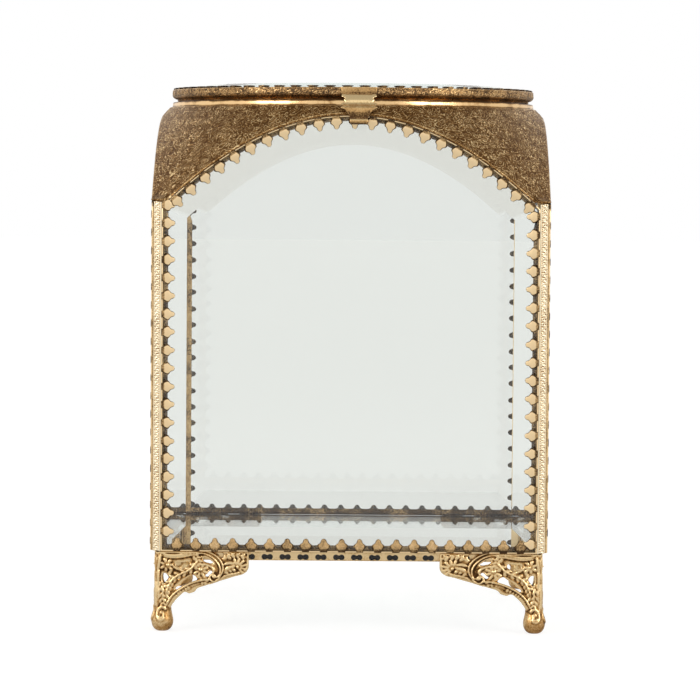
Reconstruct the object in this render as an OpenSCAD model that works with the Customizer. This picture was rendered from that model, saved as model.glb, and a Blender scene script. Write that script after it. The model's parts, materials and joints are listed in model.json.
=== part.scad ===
// Glass casket box: a square body of four arched bevelled panes in pronged brass galleries,
// an embossed shoulder shell that turns the square into a round collar, a hinged round glass
// lid and four cast corner feet. +Z is up, the front is -Y, and the origin is the middle of
// the square plan on the plane that the feet stand on.

/* [Body] */
// Width and depth of the body over its corner posts
body_w = 110; // [100:1:130]
// Radius of the quarter-round corner posts
post_r = 3; // [2.4:0.1:4]
// Wall of the hollow corner posts
post_t = 0.6; // [0.4:0.05:1]
// Height of the straight sides of a pane's gallery
side_h = 94.8; // [70:0.2:120]
// Rise of a pane's arched top above its straight sides
arch_rise = 25.4; // [22:0.2:28]

/* [Glass] */
// Thickness of the side panes
glass_t = 3; // [2.4:0.1:4]
// Thickness left at the bevelled edge of a side pane
glass_edge_t = 1.4; // [1:0.1:1.8]
// Width of the ground bevel of a side pane
bevel_w = 7; // [5:0.25:10]
// Thickness of the bottom pane
floor_t = 2.4; // [2:0.1:2.6]
// Thickness of the lid's disc
lid_glass_t = 3.5; // [3:0.1:4]
// Thickness left at the bevelled edge of the lid's disc
lid_edge_t = 1.5; // [1.2:0.1:1.8]
// Width of the ground bevel of the lid's disc
lid_bevel_w = 7.5; // [5:0.25:10]

/* [Galleries] */
// Thickness of the gallery strip that is bent round each pane
strip_t = 0.5; // [0.4:0.05:0.7]
// Width of the plain lip behind a pane
back_lip_w = 3.4; // [2:0.1:4.5]
// Distance between neighbouring prongs
prong_pitch = 5; // [4.5:0.1:6]
// Length of a prong, from the outside of the strip to its tip
prong_len = 3.6; // [3:0.1:4.2]
// Width of a prong across its shoulders
prong_w = 3.2; // [2.8:0.1:3.6]
// Width of the strip in front of a pane between the prongs
lip_w = 0.9; // [0.7:0.1:1.2]

/* [Base] */
// Height of the pierced base band
base_h = 2.4; // [2.1:0.1:3]
// Width of a bow-tie hole in the base band
bow_w = 2.4; // [1.8:0.1:3]
// Height of a bow-tie hole in the base band
bow_h = 1.4; // [1:0.1:1.6]

/* [Feet] */
// Height of the cast feet
foot_h = 22.2; // [20:0.2:26]
// Length of a foot's wing along the body
foot_wing = 25.2; // [22:0.2:30]
// Thickness of a foot's wing
foot_t = 2; // [1.4:0.1:2.6]
// Radius of the ball that a foot ends in
ball_r = 3.05; // [2.6:0.05:3.6]
// Height of the flat that is worn under a ball
ball_flat = 0.2; // [0.1:0.05:0.4]

/* [Shoulder and collar] */
// Thickness of the shoulder shell, measured straight up
shell_t = 0.85; // [0.6:0.05:1.2]
// Distance from the body's side plane in to the collar's upright band
collar_inset = 3.5; // [3:0.1:6]
// Thickness of the collar's upright band
collar_t = 1.3; // [1:0.1:2]
// Height of the collar
collar_h = 1.5; // [1.2:0.1:3]
// How far the collar's cove reaches in over the shoulder's top edge
cove_w = 0.85; // [0.6:0.05:1.1]

/* [Lid] */
// How far the lid's ring stands out past the collar's band
lid_overhang = 0.7; // [0.4:0.05:0.9]
// Height of the lid's ring
lid_ring_h = 3.2; // [2.8:0.1:3.8]
// Wall of the lid's ring beside the disc
ring_wall = 1.7; // [1.4:0.1:2.2]
// How far the ring's foot tucks in under its bulge
ring_tuck = 1.8; // [1:0.1:2]
// How far the ring's top edge leans in
ring_lean = 0.35; // [0.2:0.05:0.6]
// Height from the ring's foot to the underside of its inner ledge
ledge_rise = 0.3; // [0.2:0.05:0.5]
// Height left under the prongs for the disc's bevel to rise into
prong_rise = 0.7; // [0.6:0.05:0.9]
// Depth of the rim that drops from the lid into the collar
rim_h = 1.3; // [0.8:0.1:3]
// Thickness of the dropped rim
rim_t = 0.6; // [0.5:0.05:0.9]
// Gap between the closed lid and the collar
lid_gap = 0.3; // [0.2:0.05:0.5]

/* [Clasp] */
// Width of the clasp at its top and at its side lobes
clasp_w = 9.8; // [8:0.1:14]
// Thickness of the clasp's sheet
clasp_t = 0.6; // [0.4:0.05:0.9]
// How far the clasp is set to the right of the middle
clasp_x = 2; // [-4:0.5:4]
// Radius of the roll at the clasp's foot
roll_r = 0.85; // [0.7:0.05:1.1]
// Length of the roll
roll_l = 5; // [4:0.1:7]
// Height of the roll's axis below the top of the front gallery's arch
roll_drop = 1.7; // [1.2:0.1:2.5]

/* [Hinge] */
// Width of the hinge over its five knuckles
hinge_w = 14; // [11:0.5:20]
// Outer radius of a knuckle
knuckle_r = 1.5; // [1.4:0.05:1.55]
// Radius of the hinge pin
pin_r = 0.75; // [0.5:0.05:0.85]
// Running clearance round the pin
pin_fit = 0.05; // [0.02:0.01:0.1]
// Thickness of the hinge's leaves
leaf_t = 0.5; // [0.4:0.05:0.6]
// Height of the leaf that is soldered to the back gallery
leaf_h = 7; // [5:0.5:10]
// Thickness of the pin's riveted heads
head_t = 0.3; // [0.2:0.05:0.5]

/* [Fits] */
// Gap between parts that are soldered or set together
seat = 0.05; // [0.02:0.01:0.1]
// Gap between a pane and the strip that holds it
pane_fit = 0.1; // [0.05:0.05:0.3]
// Gap between the body's parts and parts of the lid
swing_gap = 0.4; // [0.3:0.05:0.5]
// Gap between neighbouring knuckles
knuckle_gap = 0.1; // [0.06:0.01:0.15]
// Gap between a knuckle and the edge of the other leaf
leaf_slack = 0.3; // [0.2:0.05:0.4]

/* [Hidden] */
$fn = 96;

gold = "#d9b574";
bronze = "#8a6a40";
clear = "#dfe8e6";

half = body_w / 2;
frame_half = half - post_r - 2 * seat;
panel_z = foot_h + 2 * seat;
apex_z = panel_z + side_h + arch_rise;
arch_k = arch_rise / pow(frame_half, 2);
arch_steps = 24;

// Depths from the front of the body, for one side's gallery and pane.
pane_front = strip_t / 10;
pane_back = pane_front + glass_t;
gallery_d = pane_back + seat + strip_t;

// The shoulder's underside is a paraboloid, and each side plane cuts it in the pane's arch.
function under_z(r) = apex_z + 2 * seat + arch_k * (half * half - r * r);
function under_r(z) = sqrt(half * half - (z - apex_z - 2 * seat) / arch_k);
collar_r = half - collar_inset;
collar_z = under_z(collar_r + cove_w);
lid_r = collar_r + lid_overhang;
lid_z = collar_z + collar_h + lid_gap;
lid_top = lid_z + lid_ring_h;
prong_z = lid_top + seat;
disc_r = lid_r - ring_wall - pane_fit;
disc_z = prong_z - prong_rise - lid_edge_t;
ledge_z = disc_z - seat;
rim_r = collar_r - collar_t - swing_gap;
ledge_r = rim_r - rim_t - ledge_rise;

// The clasp's roll in front and the hinge's knuckles behind stand out from the body alike. The
// hinge's axis is just above the gap under the lid.
reach_out = half + 2 * (swing_gap + roll_r);
hinge_z = lid_z + lid_gap / 2;
hinge_y = reach_out - knuckle_r;
knuckle_w = hinge_w / 5;

// Pane outline, moved inwards by a distance: the x where the moved arch meets the moved side.
function arch_x(inset, x = undef, n = 6) =
    let (x0 = is_undef(x) ? frame_half : x)
    n == 0 ? x0
    : arch_x(inset, frame_half - inset + inset * 2 * arch_k * x0 / arch_n(x0), n - 1);
function arch_n(x) = sqrt(1 + pow(2 * arch_k * x, 2));
function arch_point(x, inset) = [
    x - inset * 2 * arch_k * x / arch_n(x),
    apex_z - arch_k * x * x - inset / arch_n(x)
];
function outline(inset) = let (xe = arch_x(inset)) concat(
    [[-frame_half + inset, panel_z + inset], [frame_half - inset, panel_z + inset]],
    [for (i = [0 : arch_steps]) arch_point(xe * (1 - 2 * i / arch_steps), inset)]
);

// One prong, as points along and across the strip: a neck, two shoulders and a small round tip.
function prong(at, along, inward) = [
    for (p = [[-0.37, 0], [-0.38, 1 / 18], [-0.5, 1 / 4], [-0.2, 7 / 12], [-0.1, 3 / 4],
              [0.1, 3 / 4], [0.2, 7 / 12], [0.5, 1 / 4], [0.38, 1 / 18], [0.37, 0]])
        at + along * p[0] * prong_w + inward * (lip_w + p[1] * prong_len)
];
function row(n, span) = [for (i = [0 : n - 1]) span * (2 * i / (n - 1) - 1)];
function flat(lists) = [for (l = lists) for (p = l) p];

// Inner edge of a gallery's front lip, with its prongs, once round the pane.
straight_top = panel_z + side_h;
arch_stretch = 1.16;
function toothed() = let (
    reach = frame_half - prong_len - lip_w,
    n_floor = round(2 * reach / prong_pitch) + 1,
    side_low = panel_z + prong_len + lip_w,
    n_side = round((straight_top - side_low) / prong_pitch) + 1,
    side_mid = (straight_top + side_low) / 2,
    side_span = (straight_top - side_low) / 2,
    n_arch = round(2 * arch_stretch * reach / prong_pitch)
) concat(
    flat([for (x = row(n_floor, reach)) prong([x, panel_z], [1, 0], [0, 1])]),
    flat([for (z = row(n_side, side_span)) prong([frame_half, side_mid + z], [0, 1], [-1, 0])]),
    flat([for (x = row(n_arch, -reach)) let (n = arch_n(x), s = 2 * arch_k * x)
        prong([x, apex_z - arch_k * x * x], [-1, s] / n, [-s, -1] / n)]),
    flat([for (z = row(n_side, -side_span)) prong([-frame_half, side_mid + z], [0, -1], [1, 0])])
);

// Lays a side's drawing, x across and y up, on the front of the body and pushes it inwards.
module on_front(depth, from = 0)
    translate([0, -half + from + depth, 0]) rotate([90, 0, 0]) linear_extrude(depth) children();
module ring_2d(inset) difference() {
    polygon(outline(0));
    polygon(outline(inset));
}

// A side's gallery: toothed lip, band round the pane's edge and plain lip behind it.
module gallery() color(gold) intersection() {
    union() {
        on_front(strip_t) difference() {
            polygon(outline(0));
            polygon(toothed());
        }
        on_front(gallery_d) ring_2d(strip_t);
        on_front(strip_t, gallery_d - strip_t) ring_2d(back_lip_w);
    }
    translate([0, 0, panel_z - 1]) linear_extrude(apex_z)
        polygon([[0, -2 * seat], [-half - 1, -half - 1 - 2 * seat], [half + 1, -half - 1 - 2 * seat]]);
}

// A side's pane: its full thickness in the middle, ground down to a thin edge all round.
face_t = 0.2;
module side_glass() color(clear, 0.4) hull() {
    on_front(glass_edge_t, pane_back - glass_edge_t) polygon(outline(strip_t + pane_fit));
    on_front(face_t, pane_front) polygon(outline(bevel_w));
}
module turned(a) rotate([0, 0, a]) children();
module front_glass() side_glass();
module right_glass() turned(90) side_glass();
module back_glass() turned(180) side_glass();
module left_glass() turned(270) side_glass();
module front_gallery() gallery();
module right_gallery() turned(90) gallery();
module back_gallery() turned(180) gallery();
module left_gallery() turned(270) gallery();

// Corner posts: hollow quarter rounds that cover the seam between two galleries.
module post() color(gold) difference() {
    translate([-frame_half - seat, -frame_half - seat, panel_z]) intersection() {
        difference() {
            cylinder(h = apex_z, r = post_r);
            translate([0, 0, -1]) cylinder(h = apex_z + 2, r = post_r - post_t);
        }
        translate([-2 * post_r, -2 * post_r, 0]) cube([2 * post_r, 2 * post_r, side_h + 2 * post_r]);
    }
    rotate_extrude() let (r0 = frame_half * 1.3, r1 = half * 1.5)
        polygon([[r0, under_z(r0) - seat], [r1, under_z(r1) - seat], [r1, 2 * apex_z], [r0, 2 * apex_z]]);
}
module post_front_left() post();
module post_front_right() mirror([1, 0, 0]) post();
module post_back_left() mirror([0, 1, 0]) post();
module post_back_right() turned(180) post();

// Base band: four pierced walls and a toothed ledge that the bottom pane lies on.
band_half = frame_half - 2 * seat;
band_z = panel_z - seat - base_h;
ledge_w = 3;
module bow_tie(x) translate([x, base_h / 2]) polygon([
    [-bow_w / 2, -bow_h / 2], [0, -bow_h / 4], [bow_w / 2, -bow_h / 2],
    [bow_w / 2, bow_h / 2], [0, bow_h / 4], [-bow_w / 2, bow_h / 2]
]);
module base_wall() translate([0, -band_half + strip_t, band_z]) rotate([90, 0, 0])
    linear_extrude(strip_t) difference() {
        translate([-band_half, 0]) square([2 * band_half, base_h]);
        let (n = round(2 * (band_half - prong_len) / prong_pitch))
            for (x = row(n, band_half - prong_len)) bow_tie(x);
    }
module base_band() color(gold) {
    union() {
        for (a = [0 : 90 : 270]) turned(a) base_wall();
        translate([0, 0, band_z - strip_t]) linear_extrude(strip_t) difference() {
            square(2 * band_half, center = true);
            square(2 * (band_half - ledge_w), center = true);
        }
    }
}
floor_half = band_half - strip_t - pane_fit;
floor_z = band_z + seat;
module bottom_glass() color(clear, 0.4) translate([-floor_half, -floor_half, floor_z])
    cube([2 * floor_half, 2 * floor_half, floor_t]);

// Feet: two openwork wings that meet over a ball.
foot_in = band_half + seat;
foot_out = foot_in + foot_t;
ball_in = foot_t / 10;
// Round stretches of the outline, through chosen points.
function between(a, b, c, d, t) =
    0.5 * (2 * b + (c - a) * t + (2 * a - 5 * b + 4 * c - d) * t * t + (3 * b - 3 * c + d - a) * t * t * t);
function smooth(p, n = 4) = [
    for (i = [1 : len(p) - 3]) for (j = [0 : n - 1]) between(p[i - 1], p[i], p[i + 1], p[i + 2], j / n)
];
// Lower edge of a wing, as shares of its length and height, from the ball to its far end.
wing_edge = [
    [0.16, 0.1], [0.165, 0.22], [0.15, 0.3], [0.23, 0.45], [0.39, 0.57], [0.53, 0.61],
    [0.68, 0.66], [0.87, 0.71], [0.97, 0.77], [1, 0.86], [1, 1.1]
];
// An opening between the scrolls: its place as shares of the wing, its turn, length and radius.
openings = [[0.09, 0.69, 80, 0.08, 0.032], [0.3, 0.86, 0, 0.063, 0.032],
            [0.4, 0.68, 30, 0.08, 0.032], [0.56, 0.74, 25, 0.055, 0.028]];
module opening(o) translate([o[0] * foot_wing, o[1] * foot_h]) rotate(o[2]) {
    square([o[3], 2 * o[4]] * foot_wing, center = true);
    for (s = [-1, 1]) translate([s * o[3] * foot_wing / 2, 0]) circle(o[4] * foot_wing, $fn = 32);
}
module wing_2d() difference() {
    polygon(concat(
        [[0, foot_h], [0, ball_r]],
        [for (p = smooth(wing_edge)) [p[0] * foot_wing, min(p[1], 1) * foot_h]],
        [[foot_wing, foot_h]]
    ));
    for (o = openings) opening(o);
}
module foot() color(gold) difference() {
    union() {
        translate([-foot_out, -foot_in, 0]) rotate([90, 0, 0]) linear_extrude(foot_t) wing_2d();
        mirror([1, -1, 0]) translate([-foot_out, -foot_in, 0]) rotate([90, 0, 0])
            linear_extrude(foot_t) wing_2d();
        translate([-foot_in + ball_in, -foot_in + ball_in, ball_r - ball_flat]) sphere(ball_r);
    }
    translate([-foot_out - ball_r, -foot_out - ball_r, -2 * ball_r]) cube([3 * ball_r, 3 * ball_r, 2 * ball_r]);
}
module foot_front_left() foot();
module foot_front_right() mirror([1, 0, 0]) foot();
module foot_back_left() mirror([0, 1, 0]) foot();
module foot_back_right() turned(180) foot();

// Shoulder: a thin paraboloid, cut by the body's square outline and by the mouth.
module shoulder_shell() color(bronze) intersection() {
    corner_z = under_z(half * 1.45);
    rotate_extrude() let (
        n = 20,
        r_in = under_r(collar_z),
        r_out = under_r(collar_z - shell_t),
        r_end = half * 1.42
    ) polygon(concat(
        [for (i = [0 : n]) let (r = r_in + (r_end - r_in) * i / n) [r, under_z(r)]],
        [for (i = [0 : n]) let (r = r_end + (r_out - r_end) * i / n) [r, under_z(r) + shell_t]]
    ));
    translate([0, 0, corner_z - 2]) linear_extrude(apex_z) {
        square([2 * half, 2 * (half - post_r)], center = true);
        square([2 * (half - post_r), 2 * half], center = true);
        for (x = [-1, 1], y = [-1, 1]) translate([x, y] * (half - post_r)) circle(post_r);
    }
}

// Collar: a cove from the shoulder's edge up to a plain upright band.
module collar() color(gold) rotate_extrude() let (
    z0 = collar_z + seat,
    r_foot = under_r(collar_z - shell_t),
    cove = collar_h * 0.73,
    toe = collar_h * 0.2
) polygon(concat(
    [[collar_r - collar_t, z0], [r_foot, z0]],
    [for (i = [0 : 8]) let (a = 90 * i / 8)
        [r_foot - (r_foot - collar_r) * sin(a), z0 + toe + cove * (1 - cos(a))]],
    [[collar_r, collar_z + collar_h], [collar_r - collar_t, collar_z + collar_h]]
));

// Lid: a convex ring with an inner ledge, a disc on the ledge and prongs over the disc's bevel.
module lid_ring() color(gold) rotate_extrude() polygon(concat(
    [[ledge_r, lid_z + ledge_rise], [lid_r - ring_tuck - 0.2 * ring_wall, lid_z + ledge_rise],
     [lid_r - ring_tuck - 0.1 * ring_wall, lid_z], [lid_r - ring_tuck, lid_z]],
    [for (i = [0 : 8]) let (u = i / 8)
        [lid_r - ring_tuck * (1 - sin(90 * min(1, u * 1.6))) - ring_lean * pow(max(0, u - 0.6) / 0.4, 2),
         lid_z + lid_ring_h * (0.06 + 0.94 * u)]],
    [[disc_r + pane_fit, lid_top], [disc_r + pane_fit, ledge_z], [ledge_r, ledge_z]]
));
module lid_glass() color(clear, 0.4) translate([0, 0, disc_z]) rotate_extrude() polygon([
    [0, 0], [disc_r, 0], [disc_r, lid_edge_t], [disc_r - lid_bevel_w, lid_glass_t], [0, lid_glass_t]
]);
prong_r = lid_r - ring_lean;
module lid_prongs() color(gold) translate([0, 0, prong_z]) linear_extrude(strip_t) difference() {
    circle(prong_r);
    let (n = round(2 * PI * prong_r / prong_pitch)) polygon(flat([
        for (i = [0 : n - 1]) let (a = 360 * i / n)
            prong([cos(a), sin(a)] * prong_r, [-sin(a), cos(a)], [-cos(a), -sin(a)])
    ]));
}
module lid_rim() color(gold) translate([0, 0, collar_z + collar_h - rim_h]) difference() {
    h = rim_h + lid_gap + ledge_rise - seat;
    cylinder(h = h, r = rim_r);
    translate([0, 0, -1]) cylinder(h = h + 2, r = rim_r - rim_t);
}

// Clasp: a bent tab on the front of the lid's ring that stands clear of the collar, the shoulder
// and the front gallery, with a roll at its foot to lift the lid by.
foot_of_collar = under_r(collar_z - shell_t);
roll_y = reach_out - roll_r;
roll_z = apex_z - roll_drop;
clasp_h = lid_top - roll_z;
bend_out = 1.25 * swing_gap;
clasp_bend = [
    [lid_r + seat, lid_top], [lid_r + seat, lid_top - clasp_h * 0.03], [lid_r + seat, lid_z + clasp_h * 0.07],
    [foot_of_collar + bend_out, collar_z + 2 * seat], [half + bend_out, roll_z + clasp_h * 0.27],
    [roll_y - 0.4 * roll_r, roll_z + clasp_h * 0.15], [roll_y - 0.2 * roll_r, roll_z + roll_r / 2],
    [roll_y, roll_z]
];
// Half widths of the tab, as shares of its top's, at shares of its height down from the lid's top.
clasp_side = [
    [1, 0], [1, 0.03], [0.96, 0.17], [0.92, 0.25], [0.78, 0.38], [0.97, 0.57], [0.68, 0.74],
    [0.52, 0.86], [0.5, 0.97], [0.5, 0.99]
];
module clasp() color(gold) {
    inner = [for (p = smooth(clasp_bend)) [max(p[0], lid_r + seat), p[1]]];
    side = [for (p = smooth(clasp_side)) [p[0] * clasp_w / 2, lid_top - p[1] * clasp_h]];
    mirrored = [for (i = [len(side) - 1 : -1 : 0]) [-side[i][0], side[i][1]]];
    intersection() {
        rotate_extrude() polygon(concat(
            inner,
            [for (i = [len(inner) - 1 : -1 : 0]) inner[i] + [clasp_t * 1.2, 2 * seat]]
        ));
        translate([clasp_x, -half, 0]) rotate([90, 0, 0]) translate([0, 0, -half / 2])
            linear_extrude(half) polygon(concat(side, mirrored));
    }
    translate([clasp_x, -roll_y, roll_z]) rotate([0, 90, 0]) difference() {
        cylinder(h = roll_l, r = roll_r, center = true);
        cylinder(h = roll_l + 1, r = roll_r - clasp_t, center = true);
    }
}

// Hinge: knuckles one, three and five belong to the body's leaf, two and four to the lid's.
module knuckles(which, r, slack = 0) for (i = which)
    translate([-hinge_w / 2 + i * knuckle_w + knuckle_gap / 2 - slack, hinge_y, hinge_z])
        rotate([0, 90, 0]) cylinder(h = knuckle_w - knuckle_gap + 2 * slack, r = r);
module pin_bore() translate([-hinge_w, hinge_y, hinge_z]) rotate([0, 90, 0])
    cylinder(h = 2 * hinge_w, r = pin_r + pin_fit);
module hinge_leaf_body() color(gold) difference() {
    union() {
        difference() {
            translate([-hinge_w / 2, half + seat, hinge_z - leaf_h]) cube([hinge_w, leaf_t, leaf_h]);
            knuckles([1, 3], knuckle_r + leaf_slack, knuckle_gap);
        }
        knuckles([0, 2, 4], knuckle_r);
    }
    pin_bore();
}
module hinge_leaf_lid() color(gold) difference() {
    union() {
        difference() {
            translate([-hinge_w / 2, lid_r - ring_tuck, lid_z])
                cube([hinge_w, hinge_y - knuckle_r / 2 - lid_r + ring_tuck, hinge_z + knuckle_r - lid_z]);
            cylinder(h = 2 * apex_z, r = lid_r + seat, $fn = 240);
            knuckles([0, 2, 4], knuckle_r + leaf_slack, knuckle_gap);
        }
        knuckles([1, 3], knuckle_r);
    }
    pin_bore();
}
module hinge_pin() color(gold) translate([-hinge_w / 2, hinge_y, hinge_z]) rotate([0, 90, 0]) {
    translate([0, 0, -head_t]) cylinder(h = hinge_w + 2 * head_t, r = pin_r);
    for (z = [-head_t, hinge_w]) translate([0, 0, z]) cylinder(h = head_t, r = pin_r * 1.47);
}

front_glass();
back_glass();
left_glass();
right_glass();
bottom_glass();
front_gallery();
back_gallery();
left_gallery();
right_gallery();
post_front_left();
post_front_right();
post_back_left();
post_back_right();
base_band();
foot_front_left();
foot_front_right();
foot_back_left();
foot_back_right();
shoulder_shell();
collar();
lid_ring();
lid_prongs();
lid_glass();
lid_rim();
clasp();
hinge_leaf_body();
hinge_leaf_lid();
hinge_pin();
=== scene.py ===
# %% [markdown]
# # A glass casket box in antique brass
# The casket is an assembly of thin metalwork and bevelled glass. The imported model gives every
# piece's place and size, and this notebook gives each piece its true surface: domed prongs,
# embossed sheet, carved feet and ground bevels. All lengths below are in millimetres until the
# last moment, when a mesh is written in metres.

# %% Load the fixed frame
import json
import math

import bpy
import numpy as np
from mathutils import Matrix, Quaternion, Vector

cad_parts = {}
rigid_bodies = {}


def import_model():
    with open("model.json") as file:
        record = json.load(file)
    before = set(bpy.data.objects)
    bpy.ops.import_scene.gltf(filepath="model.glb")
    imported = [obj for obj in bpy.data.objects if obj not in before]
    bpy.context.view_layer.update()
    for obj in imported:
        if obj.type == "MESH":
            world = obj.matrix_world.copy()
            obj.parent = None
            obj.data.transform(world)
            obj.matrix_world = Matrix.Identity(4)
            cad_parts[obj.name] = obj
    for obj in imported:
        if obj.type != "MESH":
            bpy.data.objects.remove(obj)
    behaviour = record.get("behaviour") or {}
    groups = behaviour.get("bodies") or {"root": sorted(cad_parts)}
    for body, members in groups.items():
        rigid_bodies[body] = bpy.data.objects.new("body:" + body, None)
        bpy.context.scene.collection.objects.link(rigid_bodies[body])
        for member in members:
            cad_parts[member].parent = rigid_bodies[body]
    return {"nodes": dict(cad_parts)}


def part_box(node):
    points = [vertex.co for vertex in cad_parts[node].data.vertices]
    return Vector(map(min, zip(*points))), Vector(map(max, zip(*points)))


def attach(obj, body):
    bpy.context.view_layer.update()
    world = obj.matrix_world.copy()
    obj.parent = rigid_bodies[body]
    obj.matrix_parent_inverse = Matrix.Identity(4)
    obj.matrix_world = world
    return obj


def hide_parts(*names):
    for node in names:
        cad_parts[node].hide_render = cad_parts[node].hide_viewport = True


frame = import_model()
bpy.context.scene.view_settings.view_transform = "Standard"
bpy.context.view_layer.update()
MM = 0.001
TAU = 2 * math.pi

# %% [markdown]
# ## The driving sizes
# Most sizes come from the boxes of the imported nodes, so this notebook follows the model when it
# changes. Typing them all in would work too, but then the two would drift apart. What a box can't
# tell, such as the rise of the arch or the width of the bevel, is named here once.

# %% Sizes from the frame
def node_box(name):
    """Lowest and highest corner of a node, in millimetres."""
    low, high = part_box(name)
    return np.array(low) / MM, np.array(high) / MM


gallery_low, gallery_high = node_box("front_gallery")
lid_low, lid_high = node_box("lid_ring")
collar_low, collar_high = node_box("collar")
disc_low, disc_high = node_box("lid_glass")
HALF = -gallery_low[1]
FRAME_HALF = gallery_high[0]
PANEL_Z = gallery_low[2]
APEX_Z = gallery_high[2]
ARCH_RISE = 25.4
ARCH_K = ARCH_RISE / FRAME_HALF**2
BEVEL = 7.0
GLASS_T = 3.0
GLASS_EDGE_T = 1.4
STRIP_T = 0.45
PRONG_LEN = 3.6
POST_R = 2.2
SHELL_T = 0.5
SHELL_CORNER = 3.0
print("half width", HALF, "gallery half", FRAME_HALF, "apex", round(APEX_Z, 2))
print("lid ring from", lid_low[2], "to", lid_high[2])

# %% [markdown]
# ## Turning arrays into meshes
# Nearly every piece here is a grid of points: one direction runs along the piece and the other
# round its cross-section. One helper turns such a grid into quads. It can close either direction,
# cap the ends, and store extra numbers on the points that the materials read later. Another way
# would be to draw curves and bevel them, but a grid keeps full control of the embossing.

# %% Grid helper
def quads(rows, columns, wrap_rows, wrap_columns):
    """Quad corners of a rows x columns grid, row-major: (i, j), (i, j+1), (i+1, j+1), (i+1, j)."""
    i = np.arange(rows if wrap_rows else rows - 1)[:, None]
    j = np.arange(columns if wrap_columns else columns - 1)[None, :]
    i2, j2 = (i + 1) % rows, (j + 1) % columns
    corners = [i * columns + j, i * columns + j2, i2 * columns + j2, i2 * columns + j]
    return np.stack([np.broadcast_to(c, (i.size, j.size)) for c in corners], -1).reshape(-1, 4)


def write_mesh(name, points, faces, marks=None, smooth=True):
    """Makes an object from points in millimetres and a list of face-corner arrays (quads or fans)."""
    mesh = bpy.data.meshes.new(name)
    corners = np.concatenate([f.reshape(-1) for f in faces])
    sizes = np.concatenate([np.full(len(f), f.shape[1]) for f in faces])
    mesh.vertices.add(len(points))
    mesh.vertices.foreach_set("co", (points * MM).astype(np.float32).ravel())
    mesh.loops.add(len(corners))
    mesh.loops.foreach_set("vertex_index", corners.astype(np.int32))
    mesh.polygons.add(len(sizes))
    starts = np.concatenate([[0], np.cumsum(sizes)[:-1]]).astype(np.int32)
    mesh.polygons.foreach_set("loop_start", starts)
    mesh.update(calc_edges=True)
    mesh.validate()
    mesh.polygons.foreach_set("use_smooth", np.full(len(mesh.polygons), smooth))
    for mark, values in (marks or {}).items():
        layer = mesh.attributes.new(mark, "FLOAT", "POINT")
        layer.data.foreach_set("value", np.asarray(values, np.float32).ravel())
    piece = bpy.data.objects.new(name, mesh)
    bpy.context.scene.collection.objects.link(piece)
    return piece


def turned(points, quarter_turns):
    """Points turned about the Z axis by a number of quarter turns."""
    a = quarter_turns * math.pi / 2
    c, s = round(math.cos(a)), round(math.sin(a))
    x, y, z = points[..., 0], points[..., 1], points[..., 2]
    return np.stack([c * x - s * y, s * x + c * y, z], -1)


def flipped(faces):
    """The same faces, seen from their other side."""
    return [f[:, ::-1] for f in faces]


def volume(points, faces):
    """Signed volume of a closed surface: the sum over its triangles of a . (b x c) / 6."""
    total = 0.0
    for f in faces:
        for k in range(1, f.shape[1] - 1):
            a, b, c = points[f[:, 0]], points[f[:, k]], points[f[:, k + 1]]
            total += np.einsum("ij,ij->i", a, np.cross(b, c)).sum() / 6
    return total


def outward(points, faces):
    """The faces of a closed surface, turned over if they point inwards."""
    return flipped(faces) if volume(points, faces) < 0 else faces


def gathered(surfaces):
    """Several closed surfaces, each given as (points, faces), as one list of points and one of faces."""
    points, faces, offset = [], [], 0
    for some_points, some_faces in surfaces:
        faces += [f + offset for f in outward(some_points, some_faces)]
        points.append(some_points)
        offset += len(some_points)
    return np.concatenate(points), faces


def closed_piece(name, points, faces, marks=None, smooth=True):
    """Writes a closed surface with its faces pointing outwards."""
    return write_mesh(name, points, outward(points, faces), marks, smooth)


print("a closed grid of 4 x 4 points has", len(quads(4, 4, True, True)), "quads")


# %% [markdown]
# ## The camera
# The casket is seen from the front, from about a metre away with a long lens. The camera stands a
# few millimetres to the right of the middle and a little lower than the lid, and looks slightly down. It
# comes first so that every later picture can be compared. It could also be placed by hand and read
# off, but named numbers show at once what moves the picture.

# %% Camera
LENS = 174.5
CAMERA_Y = -985.0
CAMERA_Z = 125.0
AIM_Z = 78.2
CAMERA_X = 6.0
ROLL = math.radians(0.42)


def place_camera():
    """A camera that looks at the middle of the front and slightly down, rolled about its own axis."""
    data = bpy.data.cameras.new("camera")
    data.lens = LENS
    data.sensor_width = 36.0
    data.clip_start = 0.05
    camera = bpy.data.objects.new("camera", data)
    bpy.context.scene.collection.objects.link(camera)
    camera.location = (CAMERA_X * MM, CAMERA_Y * MM, CAMERA_Z * MM)
    distance = -HALF - CAMERA_Y
    pitch = math.atan2(AIM_Z - CAMERA_Z, distance)
    camera.rotation_mode = "YXZ"
    camera.rotation_euler = (math.pi / 2 + pitch, 0, math.atan2(CAMERA_X, distance))
    camera.rotation_mode = "QUATERNION"
    camera.rotation_quaternion = camera.rotation_quaternion @ Quaternion((0, 0, 1), ROLL)
    bpy.context.scene.camera = camera
    print("camera at, mm:", CAMERA_X, CAMERA_Y, CAMERA_Z, "pitch, degrees:", round(math.degrees(pitch), 2))


place_camera()

# %% [markdown]
# ## The pane's outline
# Every side has the same outline: a flat foot, two upright sides and a parabolic arch. The strip,
# the glass and the prongs all follow it at some distance inwards, called the inset. For the
# straight stretches the inset just moves a line, and for the arch each point moves along its own
# normal. The four stretches keep the same number of points at any inset, so a cross-section can
# be carried round the outline and its corners come out mitred.

# %% Outline
STRETCHES = (24, 24, 96, 24)
FLOOR_COLUMNS, RIGHT_COLUMNS, ARCH_COLUMNS, LEFT_COLUMNS = (
    slice(sum(STRETCHES[:k]), sum(STRETCHES[:k + 1])) for k in range(4))


def arch_normal(x):
    """Unit normal of the arch z = apex - k x^2 that points down and inwards at x."""
    slope = 2 * ARCH_K * x
    length = np.sqrt(1 + slope**2)
    return np.stack([-slope / length, -1 / length], -1)


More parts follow.
